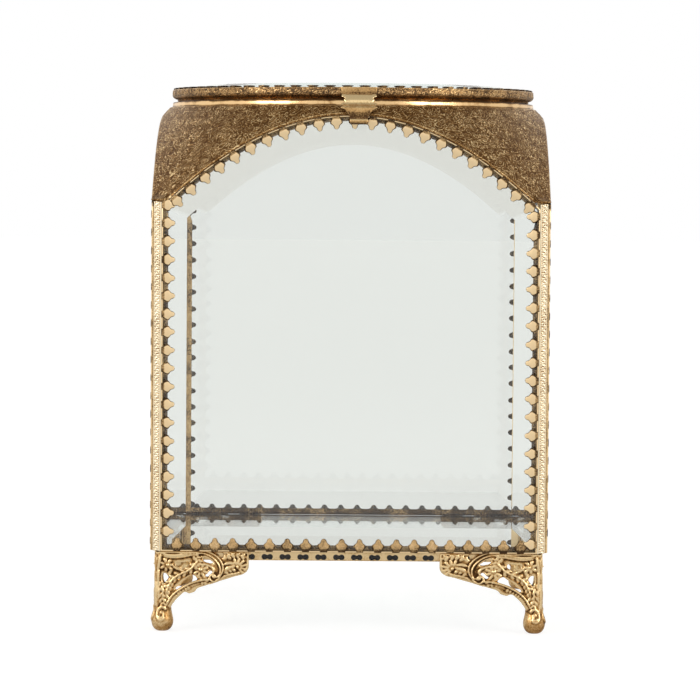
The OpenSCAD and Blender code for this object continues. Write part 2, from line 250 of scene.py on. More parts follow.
def arch_end(inset):
    """The x on the true arch whose inset point meets the inset side, found by iteration."""
    x = np.full_like(inset, FRAME_HALF)
    for _ in range(8):
        slope = 2 * ARCH_K * x
        x = FRAME_HALF - inset + inset * slope / np.sqrt(1 + slope**2)
    return x


def outline(insets):
    """Points (x, z) of the outline at each inset: array of shape (insets, points, 2), once round.
    On the arch a point is (x, apex - k x^2) + inset x the unit normal there."""
    d = np.asarray(insets, float).reshape(-1)
    n_floor, n_side, n_arch, _ = STRETCHES
    end = arch_end(d)
    side = FRAME_HALF - d
    top = APEX_Z - ARCH_K * end**2 - d / np.sqrt(1 + (2 * ARCH_K * end) ** 2)
    low = (PANEL_Z + d)[:, None]
    t = np.arange(n_floor) / n_floor
    floor = np.stack([side[:, None] * (2 * t - 1), np.broadcast_to(low, (len(d), n_floor))], -1)
    t = np.arange(n_side) / n_side
    rise = low * (1 - t) + top[:, None] * t
    right = np.stack([np.broadcast_to(side[:, None], rise.shape), rise], -1)
    t = np.arange(n_arch) / n_arch
    x0 = end[:, None] * (1 - 2 * t)
    arch = np.stack([x0, APEX_Z - ARCH_K * x0**2], -1) + d[:, None, None] * arch_normal(x0)
    fall = rise[:, ::-1] + (top - PANEL_Z - d)[:, None] / n_side
    left = np.stack([np.broadcast_to(-side[:, None], rise.shape), fall], -1)
    return np.concatenate([floor, right, arch, left], 1)


def carried_round(profile):
    """Carries a cross-section of (inset, depth) points round the outline of the front side:
    x and z are the outline's at that inset, and y = depth - half the body's width."""
    profile = np.asarray(profile, float)
    flat = outline(profile[:, 0])
    depth = np.broadcast_to(profile[:, 1][:, None], flat.shape[:2])
    return np.stack([flat[..., 0], -HALF + depth, flat[..., 1]], -1)


print("outline points:", outline([0]).shape, "bevel line apex:", round(outline([BEVEL])[0, :, 1].max(), 2))

# %% [markdown]
# ## Revolved pieces and even rows
# The collar, the lid's ring and the lid's disc are spun shapes. Their helper turns a closed
# cross-section of (radius, height) points about the Z axis, as a lathe does. A Screw modifier would turn
# it too, but points in an array can be embossed before they become a mesh.

# %% Lathe helper
def lathe(profile, steps):
    """Points of a profile (radius, height) turned about Z: array of shape (profile, steps, 3)."""
    profile = np.asarray(profile, float)
    angle = TAU * np.arange(steps) / steps
    radius, height = profile[:, 0][:, None], profile[:, 1][:, None]
    return np.stack([radius * np.cos(angle), radius * np.sin(angle), height + 0 * angle], -1)


def sharpened(piece, degrees):
    """Keeps a smooth piece crisp where two faces meet at more than this angle."""
    piece.data.set_sharp_from_angle(angle=math.radians(degrees))
    return piece


# %% [markdown]
# ## Bevelled side panes
# A ground bevel is a shallow slope cut round the edge of plate glass. It leaves the middle thick
# and the rim thin, so the metal strip can grip it. The pane is one closed surface: a thin edge, the
# sloping bevel, the flat face, and a flat back. The bevel bends the light differently from the
# flat face, and that shows as a frame of another tone just inside the prongs. The slope mark tells the
# glass finish where the bevel is, and the finish paints that frame in as a darker tint along the arch and
# the floor: painted shade for the bent light. A Bevel modifier could cut the slope as well, but a
# carried cross-section has the bevel's width and the thin edge as plain numbers.

# %% Side panes
PANE_INSET = 0.6
PANE_FRONT = 0.05
PANE_BACK = PANE_FRONT + GLASS_T
GROUND_EDGE = 0.08
SLOPE_ROWS = slice(1, 3)
# How much of the bevel's painted shade the floor's stretch gets.
FLOOR_BEVEL_SHADE = 0.4
pane_profile = [
    (BEVEL + 0.02, PANE_FRONT),
    (BEVEL, PANE_FRONT),
    (PANE_INSET + GROUND_EDGE, PANE_BACK - GLASS_EDGE_T),
    (PANE_INSET, PANE_BACK - GLASS_EDGE_T + GROUND_EDGE),
    (PANE_INSET, PANE_BACK - GROUND_EDGE),
    (PANE_INSET + GROUND_EDGE, PANE_BACK),
]
pane_rings = carried_round(pane_profile)
pane_rows, pane_columns, _ = pane_rings.shape
front_cap = np.arange(pane_columns)[None, :]
back_cap = (pane_rows - 1) * pane_columns + front_cap
pane_faces = [quads(pane_rows, pane_columns, False, True), front_cap[:, ::-1], back_cap]
# Painted shade on the bevel: full along the arch, a share along the floor, none on the uprights.
pane_bevel_shade = np.zeros((pane_rows, pane_columns))
pane_bevel_shade[SLOPE_ROWS, FLOOR_COLUMNS] = FLOOR_BEVEL_SHADE
pane_bevel_shade[SLOPE_ROWS, ARCH_COLUMNS.start + 1:ARCH_COLUMNS.stop] = 1
SIDES = {"front": 0, "right": 1, "back": 2, "left": 3}
for side, quarter in SIDES.items():
    pane_points = turned(pane_rings.reshape(-1, 3), quarter)
    pane = closed_piece(f"{side}_pane", pane_points, pane_faces, {"slope": pane_bevel_shade.ravel()})
    sharpened(pane, 8)
    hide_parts(f"{side}_glass")
    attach(pane, "body")
bevel_slope = math.degrees(math.atan2(GLASS_T - GLASS_EDGE_T, BEVEL - PANE_INSET))
print("a pane has", len(pane_points), "points; its bevel slopes", round(bevel_slope, 1), "degrees")

# %% [markdown]
# ## The lid's bevelled disc
# The lid is a disc of the same plate glass with the same kind of bevel, ground on its upper side
# and turned on a wheel. A lathe cross-section closed by two flat caps gives it. A bevelled cylinder would
# do nearly the same, but without the thin upright edge that the ring grips.

# %% Lid disc
DISC_R = disc_high[0]
DISC_BEVEL = 7.5
DISC_EDGE_T = 1.5
DISC_STEPS = 240
disc_profile = [
    (DISC_R - DISC_BEVEL, disc_high[2]),
    (DISC_R - GROUND_EDGE, disc_low[2] + DISC_EDGE_T),
    (DISC_R, disc_low[2] + DISC_EDGE_T - GROUND_EDGE),
    (DISC_R, disc_low[2] + GROUND_EDGE),
    (DISC_R - GROUND_EDGE, disc_low[2]),
]
disc_rings = lathe(disc_profile, DISC_STEPS)
top_cap = np.arange(DISC_STEPS)[None, :]
disc_faces = [
    quads(len(disc_profile), DISC_STEPS, False, True), top_cap,
    (len(disc_profile) - 1) * DISC_STEPS + top_cap[:, ::-1],
]
lid_disc = sharpened(closed_piece("lid_disc", disc_rings.reshape(-1, 3), disc_faces), 8)
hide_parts("lid_glass")
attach(lid_disc, "lid")
print("disc radius", round(DISC_R, 2), "top", round(disc_high[2], 2))

# %% [markdown]
# ## Pronged galleries
# The jeweller's name for this strip is gallery wire. It is rolled thin brass with a row of small
# leaf-shaped prongs along one edge. The strip stands round the edge of a pane and every prong
# is pushed down over the bevel. All prongs are one small closed grid, copied by array arithmetic to
# every place along the outline, so that hundreds of them cost no more code than one. An Array
# modifier could repeat the prong along a curve too, but not with each one pressed a little differently.

# %% One prong
# Stations along a prong: distance in from the strip's edge, half width, depth of its top.
PRONG_STATIONS = np.array([
    (0.02, 0.90, 0.42), (0.05, 0.94, 0.12), (0.16, 0.98, 0.02), (0.50, 1.04, 0.00), (0.80, 1.18, 0.00),
    (1.05, 1.36, 0.01), (1.28, 1.52, 0.02), (1.50, 1.65, 0.03), (1.72, 1.73, 0.05), (1.94, 1.74, 0.07),
    (2.14, 1.62, 0.09), (2.34, 1.36, 0.12), (2.54, 1.06, 0.15), (2.76, 0.86, 0.19), (3.04, 0.78, 0.24),
    (3.34, 0.68, 0.30), (3.58, 0.48, 0.35), (3.72, 0.18, 0.39),
])
# A prong's thickness, the rise of its dome, and how far it lies behind the body's front.
PRONG_T = 0.36
PRONG_DOME = 0.07
PRONG_SIT = 0.06
# Ring round a prong's section: across, how far below the top, and how bright its mark is. Its rim gets 0,
# a painted shade outline round the prong.
PRONG_RING = np.array([
    (-1.0, 0.5, 0), (-0.95, 0.14, 0), (-0.84, 0.02, 0), (-0.74, -0.03, 0.95), (-0.4, -0.08, 1),
    (0.4, -0.08, 1), (0.74, -0.03, 0.95), (0.84, 0.02, 0), (0.95, 0.14, 0), (1.0, 0.5, 0), (0.7, 1.0, 0),
    (-0.7, 1.0, 0),
])
# How many prongs the floor, an upright and the arch have.
N_FLOOR, N_SIDE, N_ARCH = 20, 19, 23
# Where a row ends. A strip is cut and bent by hand, so its rows end unevenly. The floor's row stops
# FLOOR_END and a prong's length short of the corners, and its middle leans FLOOR_LEAN to the right. The
# uprights' pairs shift the first and the last prong up or down: the first from SIDE_START and a prong's
# length above the floor, the last from the arch's foot. The arch's pair is the x of its two end prongs.
FLOOR_END = 1.0
FLOOR_LEAN = 0.6
SIDE_START = 0.7
RIGHT_SHIFTS = (-1.7, -2.0)
LEFT_SHIFTS = (1.3, 0.5)
ARCH_ENDS = (-48.9, 50.1)


def prong_grid():
    """One prong as (stations, ring, 3): along the strip, in from its edge, and depth.
    Along = half width x across. Depth = the station's depth + thickness - dome x (1 - across^2)."""
    inset, half_width, depth = (column[:, None] for column in PRONG_STATIONS.T)
    across, below = PRONG_RING[:, 0][None, :], PRONG_RING[:, 1][None, :]
    dome = PRONG_DOME * (1 - across**2) * np.clip(half_width - 0.5, 0, 1)
    thick = np.where(below > 0.5, PRONG_T, 2 * PRONG_DOME)
    sunk = depth + below * thick + PRONG_SIT - dome * (below < 0.5)
    return np.stack([half_width * across, inset + 0 * across, sunk], -1)


def arch_places(count, first, last):
    """Places along the arch at equal steps of its own length: point and inward normal."""
    fine = np.linspace(first, last, 400)
    run = np.concatenate([[0], np.cumsum(np.hypot(np.diff(fine), np.diff(ARCH_K * fine**2)))])
    x = np.interp(np.linspace(0, run[-1], count), run, fine)
    return np.stack([x, APEX_Z - ARCH_K * x**2], -1), arch_normal(x)


def prong_places():
    """Where the prongs of one side sit: point on the outline and unit direction inwards."""
    reach = FRAME_HALF - PRONG_LEN - FLOOR_END
    low, high = PANEL_Z + PRONG_LEN + SIDE_START, APEX_Z - ARCH_RISE
    x = np.linspace(-reach, reach, N_FLOOR)
    x = x + FLOOR_LEAN * (1 - (x / reach) ** 6)
    rows = [np.stack([x, np.full(N_FLOOR, PANEL_Z)], -1)]
    for hand, (first, last) in ((1, RIGHT_SHIFTS), (-1, LEFT_SHIFTS)):
        z = np.linspace(low + first, high + last, N_SIDE)
        rows.append(np.stack([np.full(N_SIDE, hand * FRAME_HALF), z], -1))
    arch, arch_in = arch_places(N_ARCH, *ARCH_ENDS)
    inward = [np.broadcast_to(d, (n, 2)) for d, n in (((0, 1), N_FLOOR), ((-1, 0), N_SIDE), ((1, 0), N_SIDE))]
    return np.concatenate([*rows, arch]), np.concatenate([*inward, arch_in])


prong = prong_grid()
places, inwards = prong_places()
print("prongs on a side:", len(places), "quads in one:", (len(PRONG_STATIONS) - 1) * len(PRONG_RING))

# %% [markdown]
# ## Setting the prongs
# A real prong is pressed by hand, so no two lie quite alike. Each copy gets a small turn, a small
# change of width and a small change of press from a repeatable pattern of numbers. A random seed would
# do it too, but a formula gives the same prong the same press in every version of the program.

# %% Prongs along a side
def hashed(i, j, salt):
    """A repeatable number from 0 to 1 for each pair of whole numbers."""
    value = np.sin(i * 127.1 + j * 311.7 + salt * 74.7) * 43758.5453
    return value - np.floor(value)


def grid_faces(count, rows, columns):
    """Faces of several closed tubes of rows x columns points, each with two end caps."""
    one = quads(rows, columns, False, True)
    start = (np.arange(count) * rows * columns)[:, None, None]
    first = np.arange(columns)[None, None, :]
    last = first + (rows - 1) * columns
    return [(one[None] + start).reshape(-1, 4), (first + start).reshape(-1, columns)[:, ::-1],
            (last + start).reshape(-1, columns)]


def closed_tube(grid):
    """A grid of cross-sections as a closed surface: its points, and its faces with two end caps."""
    rows, columns, _ = grid.shape
    return grid.reshape(-1, 3), grid_faces(1, rows, columns)


# How much of their mark the floor's prongs keep, which makes them darker, and how far prongs differ in
# width, in turn and in press.
FLOOR_PRONG_SHARE = 0.32
WIDTH_SPREAD, TURN_SPREAD, PRESS_SPREAD = 0.1, 0.1, 0.1


def set_prongs(salt, upright_reach=1.0, floor_reach=1.0):
    """All prongs of one side, drawn on the front: points (count x stations x ring, 3) and a mark of wear and
    painted shade. Length in from the edge = the prong's own length times a reach, one for uprights and
    one for the floor."""
    n = np.arange(len(places))
    wide = (1 - WIDTH_SPREAD / 2 + WIDTH_SPREAD * hashed(n, salt, 1))[:, None, None]
    turn = (TURN_SPREAD * (hashed(n, salt, 2) - 0.5))[:, None, None]
    press = (PRESS_SPREAD * hashed(n, salt, 3))[:, None, None]
    along, inset, depth = prong[None, ..., 0] * wide, prong[None, ..., 1], prong[None, ..., 2]
    along = along + turn * (inset - 0.4)
    upright = ((n >= N_FLOOR) & (n < N_FLOOR + 2 * N_SIDE))[:, None, None]
    inset = inset * np.where(upright, upright_reach, np.where((n < N_FLOOR)[:, None, None], floor_reach, 1.0))
    depth = depth + press * np.clip(inset - 1, 0, 3) / 2.6
    inward = inwards[:, None, None, :]
    tangent = np.stack([inward[..., 1], -inward[..., 0]], -1)
    flat = places[:, None, None, :] + tangent * along[..., None] + inward * inset[..., None]
    points = np.stack([flat[..., 0], -HALF + depth, flat[..., 1]], -1)
    # A prong's mark is low where it bends off the strip, and 0 on its rim and tip, a painted shade outline.
    bend = np.clip((inset - 0.75) / 0.4, 0, 1)
    tip = np.clip((PRONG_LEN + 0.1 - prong[None, ..., 1]) / 0.15, 0, 1)
    floor_share = np.where(n < N_FLOOR, FLOOR_PRONG_SHARE, 1.0)[:, None, None]
    worn = (0.12 + 0.83 * bend) * tip * PRONG_RING[:, 2] * floor_share
    return points.reshape(-1, 3), np.broadcast_to(worn, points.shape[:3]).reshape(-1)


print("points in a side's prongs:", len(set_prongs(0)[0]))

# %% [markdown]
# ## The strip behind the prongs
# The strip is one cross-section carried round the outline: a bright rolled edge in front, the wall
# beside the pane, and a lip behind the glass, which the clear pane shows. Its width and the painted
# shade on its lip differ from stretch to stretch. A curve with this bevel profile would do as well, but
# its corners would not be mitred.

# %% Gallery strips
# Cross-section of the strip: inset from its outer face, and depth behind the body's front.
LIP = 3.4
STRIP_PROFILE = [
    (0.0, 0.44), (0.04, 0.28), (0.14, 0.16), (0.24, 0.13), (0.36, 0.16), (STRIP_T, 0.28),
    (STRIP_T, 3.12), (0.9, 3.12), (3.3, 3.12), (LIP, 3.2), (LIP, 3.5), (3.3, 3.6), (0.62, 3.6), (0.0, 2.98),
]
# How bright each row is: the rolled edge is rubbed bright, the row at the wall's foot gets 0 as a painted
# shadow in the slot behind the edge, and the rows behind the glass are low, as painted shade.
STRIP_WEAR_AND_SHADE = [0.3, 0.8, 1.0, 1.0, 1.0, 0.0, 0.3, 0.9, 1.0, 0.9, 0.4, 0.34, 0.34, 0.3]
LIP_ROWS = slice(8, 12)
LIP_FACE_ROWS = slice(7, 10)
BEHIND_ROWS = slice(8, None)
# The lip's width along the floor, the arch and the uprights, and on the back gallery's uprights.
LOW_LIP = 1.9
ARCH_LIP = 1.7
SIDE_LIP = 1.9
BACK_SIDE_LIP = 2.8
# Points this close to the edge belong to the lip.
LIP_ZONE = 3.5
# Painted shade on the face of the lip on each stretch, and painted light and shade on the back
# gallery's lip: lighter on one upright, darker on its floor and on the other upright.
LIP_PAINTED_SHADE = ((FLOOR_COLUMNS, 0.12), (RIGHT_COLUMNS, 0.1), (LEFT_COLUMNS, 0.1), (ARCH_COLUMNS, 0.14))
BACK_LIP_PAINTED_LIGHT = ((LEFT_COLUMNS, 1.3), (FLOOR_COLUMNS, 0.04), (RIGHT_COLUMNS, 0.25))
# How long the prongs are on the back gallery: a share for the uprights, and one for the floor.
BACK_REACH = (1.08, 0.8)
strip_rings = carried_round(STRIP_PROFILE)
narrow = carried_round([(min(inset, ARCH_LIP), depth) for inset, depth in STRIP_PROFILE])
strip_rings[LIP_ROWS, ARCH_COLUMNS] = narrow[LIP_ROWS, ARCH_COLUMNS]
lip_z = strip_rings[LIP_ROWS, :, 2]
strip_rings[LIP_ROWS, :, 2] = np.where(lip_z < PANEL_Z + LIP_ZONE, lip_z - LIP + LOW_LIP, lip_z)


def slimmed(lip):
    """The strip with its two upright lips moved out to a width of lip millimetres."""
    rings = strip_rings.copy()
    lip_x = rings[LIP_ROWS, :, 0]
    out = np.abs(lip_x)
    rings[LIP_ROWS, :, 0] = np.sign(lip_x) * np.where(out > FRAME_HALF - LIP_ZONE, out + LIP - lip, out)
    return rings


strip_rows, strip_columns, _ = strip_rings.shape
strip_faces = quads(strip_rows, strip_columns, True, True)
strip_worn = np.repeat(STRIP_WEAR_AND_SHADE, strip_columns).reshape(strip_rows, strip_columns)
for columns, value in LIP_PAINTED_SHADE:
    strip_worn[LIP_FACE_ROWS, columns] = value
for side, quarter in SIDES.items():
    at_back = side == "back"
    prong_points, prong_worn = set_prongs(quarter, *(BACK_REACH if at_back else (1.0, 1.0)))
    strip_points = slimmed(BACK_SIDE_LIP if at_back else SIDE_LIP).reshape(-1, 3)
    points, faces = gathered([
        (strip_points, [strip_faces]),
        (prong_points, grid_faces(len(places), len(PRONG_STATIONS), len(PRONG_RING))),
    ])
    # The back gallery's lip gets its own painted light and shade.
    lip_worn = strip_worn.copy()
    for columns, value in BACK_LIP_PAINTED_LIGHT if at_back else ():
        lip_worn[BEHIND_ROWS, columns] = value
    worn = np.concatenate([lip_worn.ravel(), prong_worn])
    gallery = write_mesh(f"{side}_pronged_strip", turned(points, quarter), faces, {"worn": worn})
    sharpened(gallery, 40)
    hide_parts(f"{side}_gallery")
    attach(gallery, "body")
print("one gallery:", len(gallery.data.polygons), "faces")

# %% [markdown]
# ## Stamped scrollwork
# The shoulder and the lid's ring are sheet brass that was pressed or rolled with a fine pattern of
# curls. The pattern here is a loose lattice: each cell holds one spiral line, at a
# jittered place and with its own hand, and the highest line wins. The result is a height from 0 in
# the hollows to 1 on the crests, which moves the surface and also tells the material where the gilding
# is worn bright. A picture could carry such a pattern as well, but a formula is as fine as the grid and
# needs no file.

# %% Scrollwork
def ridge(distance, half_width):
    """A rounded ridge: 1 on the line and 0 at half_width from it."""
    return np.clip(1 - (distance / half_width) ** 2, 0, 1)


def highest(*heights):
    """The greatest of several heights at each point, held between 0 and 1."""
    top = 0.0
    for height in heights:
        top = np.maximum(top, height)
    return np.minimum(top, 1)


def scrollwork(u, v, motif, gap, line, salt, around=1 << 20):
    """Height of spirals r = gap x turns, one for each cell of size motif; u closes after `around` cells."""
    cell_u, cell_v = np.floor(u / motif), np.floor(v / motif)
    height = np.zeros(np.broadcast(u, v).shape)
    reach = 0.68 * motif
    for step_u in (-1, 0, 1):
        for step_v in (-1, 0, 1):
            i, j = cell_u + step_u, cell_v + step_v
            cell = np.mod(i, around)
            x = u - (i + 0.25 + 0.5 * hashed(cell, j, salt)) * motif
            y = v - (j + 0.25 + 0.5 * hashed(cell, j, salt + 1)) * motif
            hand = np.where(hashed(cell, j, salt + 2) > 0.5, 1, -1)
            r = np.hypot(x, y)
            turns = r / gap - hand * np.arctan2(y, x) / TAU - hashed(cell, j, salt + 3)
            distance = np.abs(turns - np.round(turns)) * gap
            fade = np.clip((reach - r) / (0.4 * reach), 0, 1)
            height = np.maximum(height, ridge(distance, line / 2) * fade)
    return height


SHELL_CLEAR = 0.1


def under_z(radius):
    """Height of the shoulder's underside at a distance r from the axis: apex + gap + k (half^2 - r^2)."""
    return APEX_Z + SHELL_CLEAR + ARCH_K * (HALF**2 - radius**2)


print("the shoulder's underside is", round(under_z(HALF), 2), "mm up above the middle of a side")


# %% [markdown]
# ## Corner posts
# Each post is a long quarter-round moulding rolled with two staggered columns of small rings between
# two rows of tiny beads. It covers the seam between two galleries and ends under the shoulder's
# level-cut tip with a slight dome. Its grid runs up the post and round its section, and the height of
# the pattern moves each outer point inwards, never outwards, so the post stays inside its place. A bump
# in the finish alone would be quicker, but the post's edge would stay dead straight.

# %% Posts
POST_AXIS = FRAME_HALF + 0.05
POST_WALL = 0.45
POST_RELIEF = 0.2
POST_ROWS = 760
POST_ACROSS = 38
# The inner face needs only every sixth column.
INNER_STEP = 6
# The shoulder's tips are cut level this far above their lowest point, and the posts reach up to the cut.
TIP_CUT = 3.0
TIP_Z = under_z((HALF - SHELL_CORNER) * math.sqrt(2) + SHELL_CORNER) + TIP_CUT
TIP_GAP = 0.02
DOME_LENGTH, DOME_DROP = 0.8, 0.3
# From the post's long edge inwards: a plain margin, then the row of beads.
MARGIN = 0.5
BEADS_IN, BEAD_PITCH, BEAD_R = 0.72, 0.62, 0.27
# Each column of rings: its place across from the middle, and its shift along the post.
EYE_PITCH = 1.36
EYE_COLUMNS = ((-0.5, 0.0), (0.5, 0.68))
EYE_R, EYE_LINE, EYE_DOT = 0.4, 0.24, 0.14
arc = np.linspace(0, math.pi / 2, POST_ACROSS)
around_post = arc * POST_R


def post_height(u, v):
    """Pattern of a post: smooth margins, bead rows, and two staggered columns of rings, each
    |distance from its centre - radius| turned into a ridge."""
    middle = POST_R * math.pi / 4
    edge = middle - np.abs(u - middle)
    beads = ridge(np.hypot(edge - BEADS_IN, np.mod(v, BEAD_PITCH) - BEAD_PITCH / 2), BEAD_R)
    margin = np.clip((MARGIN - edge) / 0.08, 0, 1)
    eyes = 0.0
    for across, shift in EYE_COLUMNS:
        from_centre = np.hypot(u - middle - across, np.mod(v + shift, EYE_PITCH) - EYE_PITCH / 2)
        eyes = highest(eyes, ridge(from_centre - EYE_R, EYE_LINE), 0.7 * ridge(from_centre, EYE_DOT))
    return highest(margin, 0.85 * beads, eyes)


def post_grid():
    """Front left post: outer face with its pattern, and a plain inner face.
    Outer point = axis + direction x (radius - relief x (1 - pattern) - dome)."""
    t = np.linspace(0, 1, POST_ROWS)[:, None]
    direction = np.stack([-np.sin(arc), -np.cos(arc)], -1)
    z = PANEL_Z + t * (TIP_Z - TIP_GAP - PANEL_Z) + 0 * arc[None, :]
    domed = DOME_DROP * np.clip(1 - (TIP_Z - z) / DOME_LENGTH, 0, 1) ** 2
    height = post_height(around_post[None, :], z - PANEL_Z)
    radius = POST_R - POST_RELIEF * (1 - height) - domed
    outer = np.concatenate([-POST_AXIS + radius[..., None] * direction, z[..., None]], -1)
    plain = np.broadcast_to(-POST_AXIS + (POST_R - POST_WALL) * direction, (POST_ROWS, POST_ACROSS, 2))
    inner = np.concatenate([plain, z[..., None]], -1)[:, ::-1][:, ::INNER_STEP]
    worn = np.concatenate([height, np.full(inner.shape[:2], 0.2)], 1)
    return np.concatenate([outer, inner], 1), worn


post_points, post_worn = post_grid()
post_rows, post_columns, _ = post_points.shape
cap = np.arange(post_columns)[None, :]
top_cap = (post_rows - 1) * post_columns + cap
post_faces = [quads(post_rows, post_columns, False, True), cap[:, ::-1], top_cap]
CORNERS = {"front_left": (1, 1), "front_right": (-1, 1), "back_left": (1, -1), "back_right": (-1, -1)}
for corner, (mirror_x, mirror_y) in CORNERS.items():
    points = post_points.reshape(-1, 3) * (mirror_x, mirror_y, 1)
    post = closed_piece(f"rolled_post_{corner}", points, post_faces, {"worn": post_worn.ravel()})
    sharpened(post, 50)
    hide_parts(f"post_{corner}")
    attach(post, "body")
print("post grid", post_rows, "x", post_columns)

# %% [markdown]
# ## The shoulder
# One pressed sheet carries the square body up to the round lid. Its surface is a paraboloid, and the
# upright sides of the body cut it in the same arches that the panes have. The grid runs round
# the casket and outwards from the lid's collar to the rounded square edge. A narrow rim along
# the edge is plain with two fine ridges, and the rest carries the scrollwork. The four tips are cut
# level, where they sit on the posts. It could be cut from a solid with booleans, but a height for each
# direction and distance gives the arches exactly and lays the pattern along the sheet.

# %% Shoulder
SHELL_COLUMNS = 1040
SHELL_ROWS = 86
SHELL_RELIEF = 0.15
SHELL_IN = 50.6
SHELL_MOTIFS = 184
SHELL_MOTIF = 1.88
# The trim along the edge, and its two ridges: distance in from the edge and half width.
TRIM = 1.3
OUTER_RIDGE, INNER_RIDGE = (0.38, 0.2), (1.04, 0.15)
ROLLED_EDGE, ROLLED_DROP = 0.9, 0.3
# Inside SEAT_R the sheet is plain. Where it would rise above SEAT_Z it is level, under the collar.
SEAT_R = 53.0
SEAT_Z = collar_low[2] - 0.02
SEAT_T = 0.35
TIP_T = 0.4
UNDER_ROWS = 9


def square_radius(angle, half, corner):
    """Distance from the axis to a square with rounded corners, in the direction of an angle a:
    half / cos(a) on a flat side, and on a corner the far root of the circle's equation."""
    a = np.abs(np.mod(angle + math.pi / 4, math.pi / 2) - math.pi / 4)
    flat = half / np.cos(a)
    middle = (half - corner) * math.sqrt(2)
    b = math.pi / 4 - a
    bend = middle * np.cos(b) + np.sqrt(np.maximum(corner**2 - (middle * np.sin(b)) ** 2, 0))
    return np.where(flat * np.sin(a) > half - corner, bend, flat)


def shoulder_grid():
    """Rows run outwards over the top and back below; columns run round the casket.
    Top = underside + sheet - relief x (1 - pattern), between the tips' cut and the collar's seat."""
    angle = TAU * np.arange(SHELL_COLUMNS) / SHELL_COLUMNS
    outer = square_radius(angle, HALF - 0.02, SHELL_CORNER)
    t = np.linspace(0, 1, SHELL_ROWS)[:, None]
    radius = SHELL_IN + t * (outer - SHELL_IN)[None, :]
    slope = np.hypot(1, 2 * ARCH_K * radius)
    run = np.concatenate([np.zeros((1, SHELL_COLUMNS)), np.cumsum(slope[1:] * np.diff(radius, axis=0), 0)])
    left = run[-1] - run
    u = angle[None, :] / TAU * SHELL_MOTIFS * SHELL_MOTIF + 0 * radius
    curls = scrollwork(u, run, SHELL_MOTIF, 0.8, 0.46, 5, SHELL_MOTIFS)
    trim = np.clip((TRIM - left) / 0.1, 0, 1)
    outer_ridge, inner_ridge = (ridge(left - at, half) for at, half in (OUTER_RIDGE, INNER_RIDGE))
    rim = np.maximum(outer_ridge, 0.8 * inner_ridge)
    height = np.maximum(curls * (1 - trim), rim)
    plain = np.clip((SEAT_R - radius) / 0.2, 0, 1)
    height = np.maximum(height, plain)
    rolled = ROLLED_DROP * np.clip(1 - left / ROLLED_EDGE, 0, 1) ** 2
    top = under_z(radius) + SHELL_T - SHELL_RELIEF * (1 - height) - rolled
    top = np.maximum(np.minimum(top, SEAT_Z), TIP_Z + TIP_T)
    upper = np.stack([radius * np.cos(angle), radius * np.sin(angle), top], -1)
    back = np.linspace(1, 0, UNDER_ROWS)[:, None]
    below = SHELL_IN + back * (outer - SHELL_IN)[None, :]
    bottom = np.maximum(np.minimum(under_z(below), SEAT_Z - SEAT_T), TIP_Z)
    lower = np.stack([below * np.cos(angle), below * np.sin(angle), bottom], -1)
    worn = np.concatenate([height, np.full(below.shape, 0.2)])
    smooth = np.concatenate([highest(0.8 * plain, 0.45 * rim, 0.3 * trim), np.zeros(below.shape)])
    return np.concatenate([upper, lower]), worn, smooth


shell_points, shell_worn, shell_plain = shoulder_grid()
shell_faces = [quads(shell_points.shape[0], SHELL_COLUMNS, True, True)]
marks = {"worn": shell_worn.ravel(), "plain": shell_plain.ravel()}
shoulder = sharpened(closed_piece("embossed_shoulder", shell_points.reshape(-1, 3), shell_faces, marks), 60)
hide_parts("shoulder_shell")
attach(shoulder, "body")
print("shoulder faces", len(shell_faces[0]), "lowest", round(shell_points[..., 2].min(), 1))

# %% [markdown]
# ## The collar
# Above the shoulder a plain spun band swells out below the lid. Its smooth upright face catches
# the light as one long bright line, so its cross-section has many points. A plain cylinder would
# mirror the room in one flat stripe, and the swell r = R + foot x cos(t)^0.35 keeps it lively.

# %% Collar
COLLAR_R = HALF - 3.5
COLLAR_FOOT_R = COLLAR_R + 0.65
COLLAR_IN_R = COLLAR_R - 1.3
COLLAR_EDGE = 0.08
COLLAR_STEPS = 360
z0, z1 = collar_low[2], collar_high[2]
swell = np.linspace(0, math.pi / 2, 14)
swell_r = COLLAR_R + (COLLAR_FOOT_R - COLLAR_R) * np.cos(swell) ** 0.35
swell_z = z0 + 0.12 + (z1 - z0 - 0.16) * np.sin(swell)
collar_profile = np.concatenate([
    [(COLLAR_IN_R, z0), (COLLAR_FOOT_R - 0.06, z0), (COLLAR_FOOT_R, z0 + 0.06)],
    np.stack([swell_r, swell_z], -1),
    [(COLLAR_R - COLLAR_EDGE, z1), (COLLAR_IN_R + COLLAR_EDGE, z1), (COLLAR_IN_R, z1 - COLLAR_EDGE)],
])
collar_rings = lathe(collar_profile, COLLAR_STEPS)
# Painted light and shade up the collar: painted shade at its foot and under the ring, and a painted
# highlight across its swell. Pairs of height above its foot and brightness.
COLLAR_PAINTED_LIGHT = np.array([(0.1, 0.15), (0.45, 1.0), (0.95, 0.95), (1.3, 0.1)])
collar_light_rows = np.interp(collar_profile[:, 1], z0 + COLLAR_PAINTED_LIGHT[:, 0], COLLAR_PAINTED_LIGHT[:, 1])
collar_worn = np.repeat(collar_light_rows, COLLAR_STEPS)
collar_faces = [quads(len(collar_profile), COLLAR_STEPS, True, True)]
spun_collar = closed_piece("spun_collar", collar_rings.reshape(-1, 3), collar_faces, {"worn": collar_worn})
sharpened(spun_collar, 35)
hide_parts("collar")
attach(spun_collar, "body")
print("collar", round(z0, 2), "to", round(z1, 2), "mm up, radius", COLLAR_R)

# %% [markdown]
# ## The lid's ring
# The lid's frame is a rolled moulding bent into a ring. Its upright face carries scrollwork, and it
# rounds under to a thin plain lip. The cross-section is turned as on a lathe, and the pattern then
# moves the points of the face towards the axis. That is real relief, so it also shows on the outline.

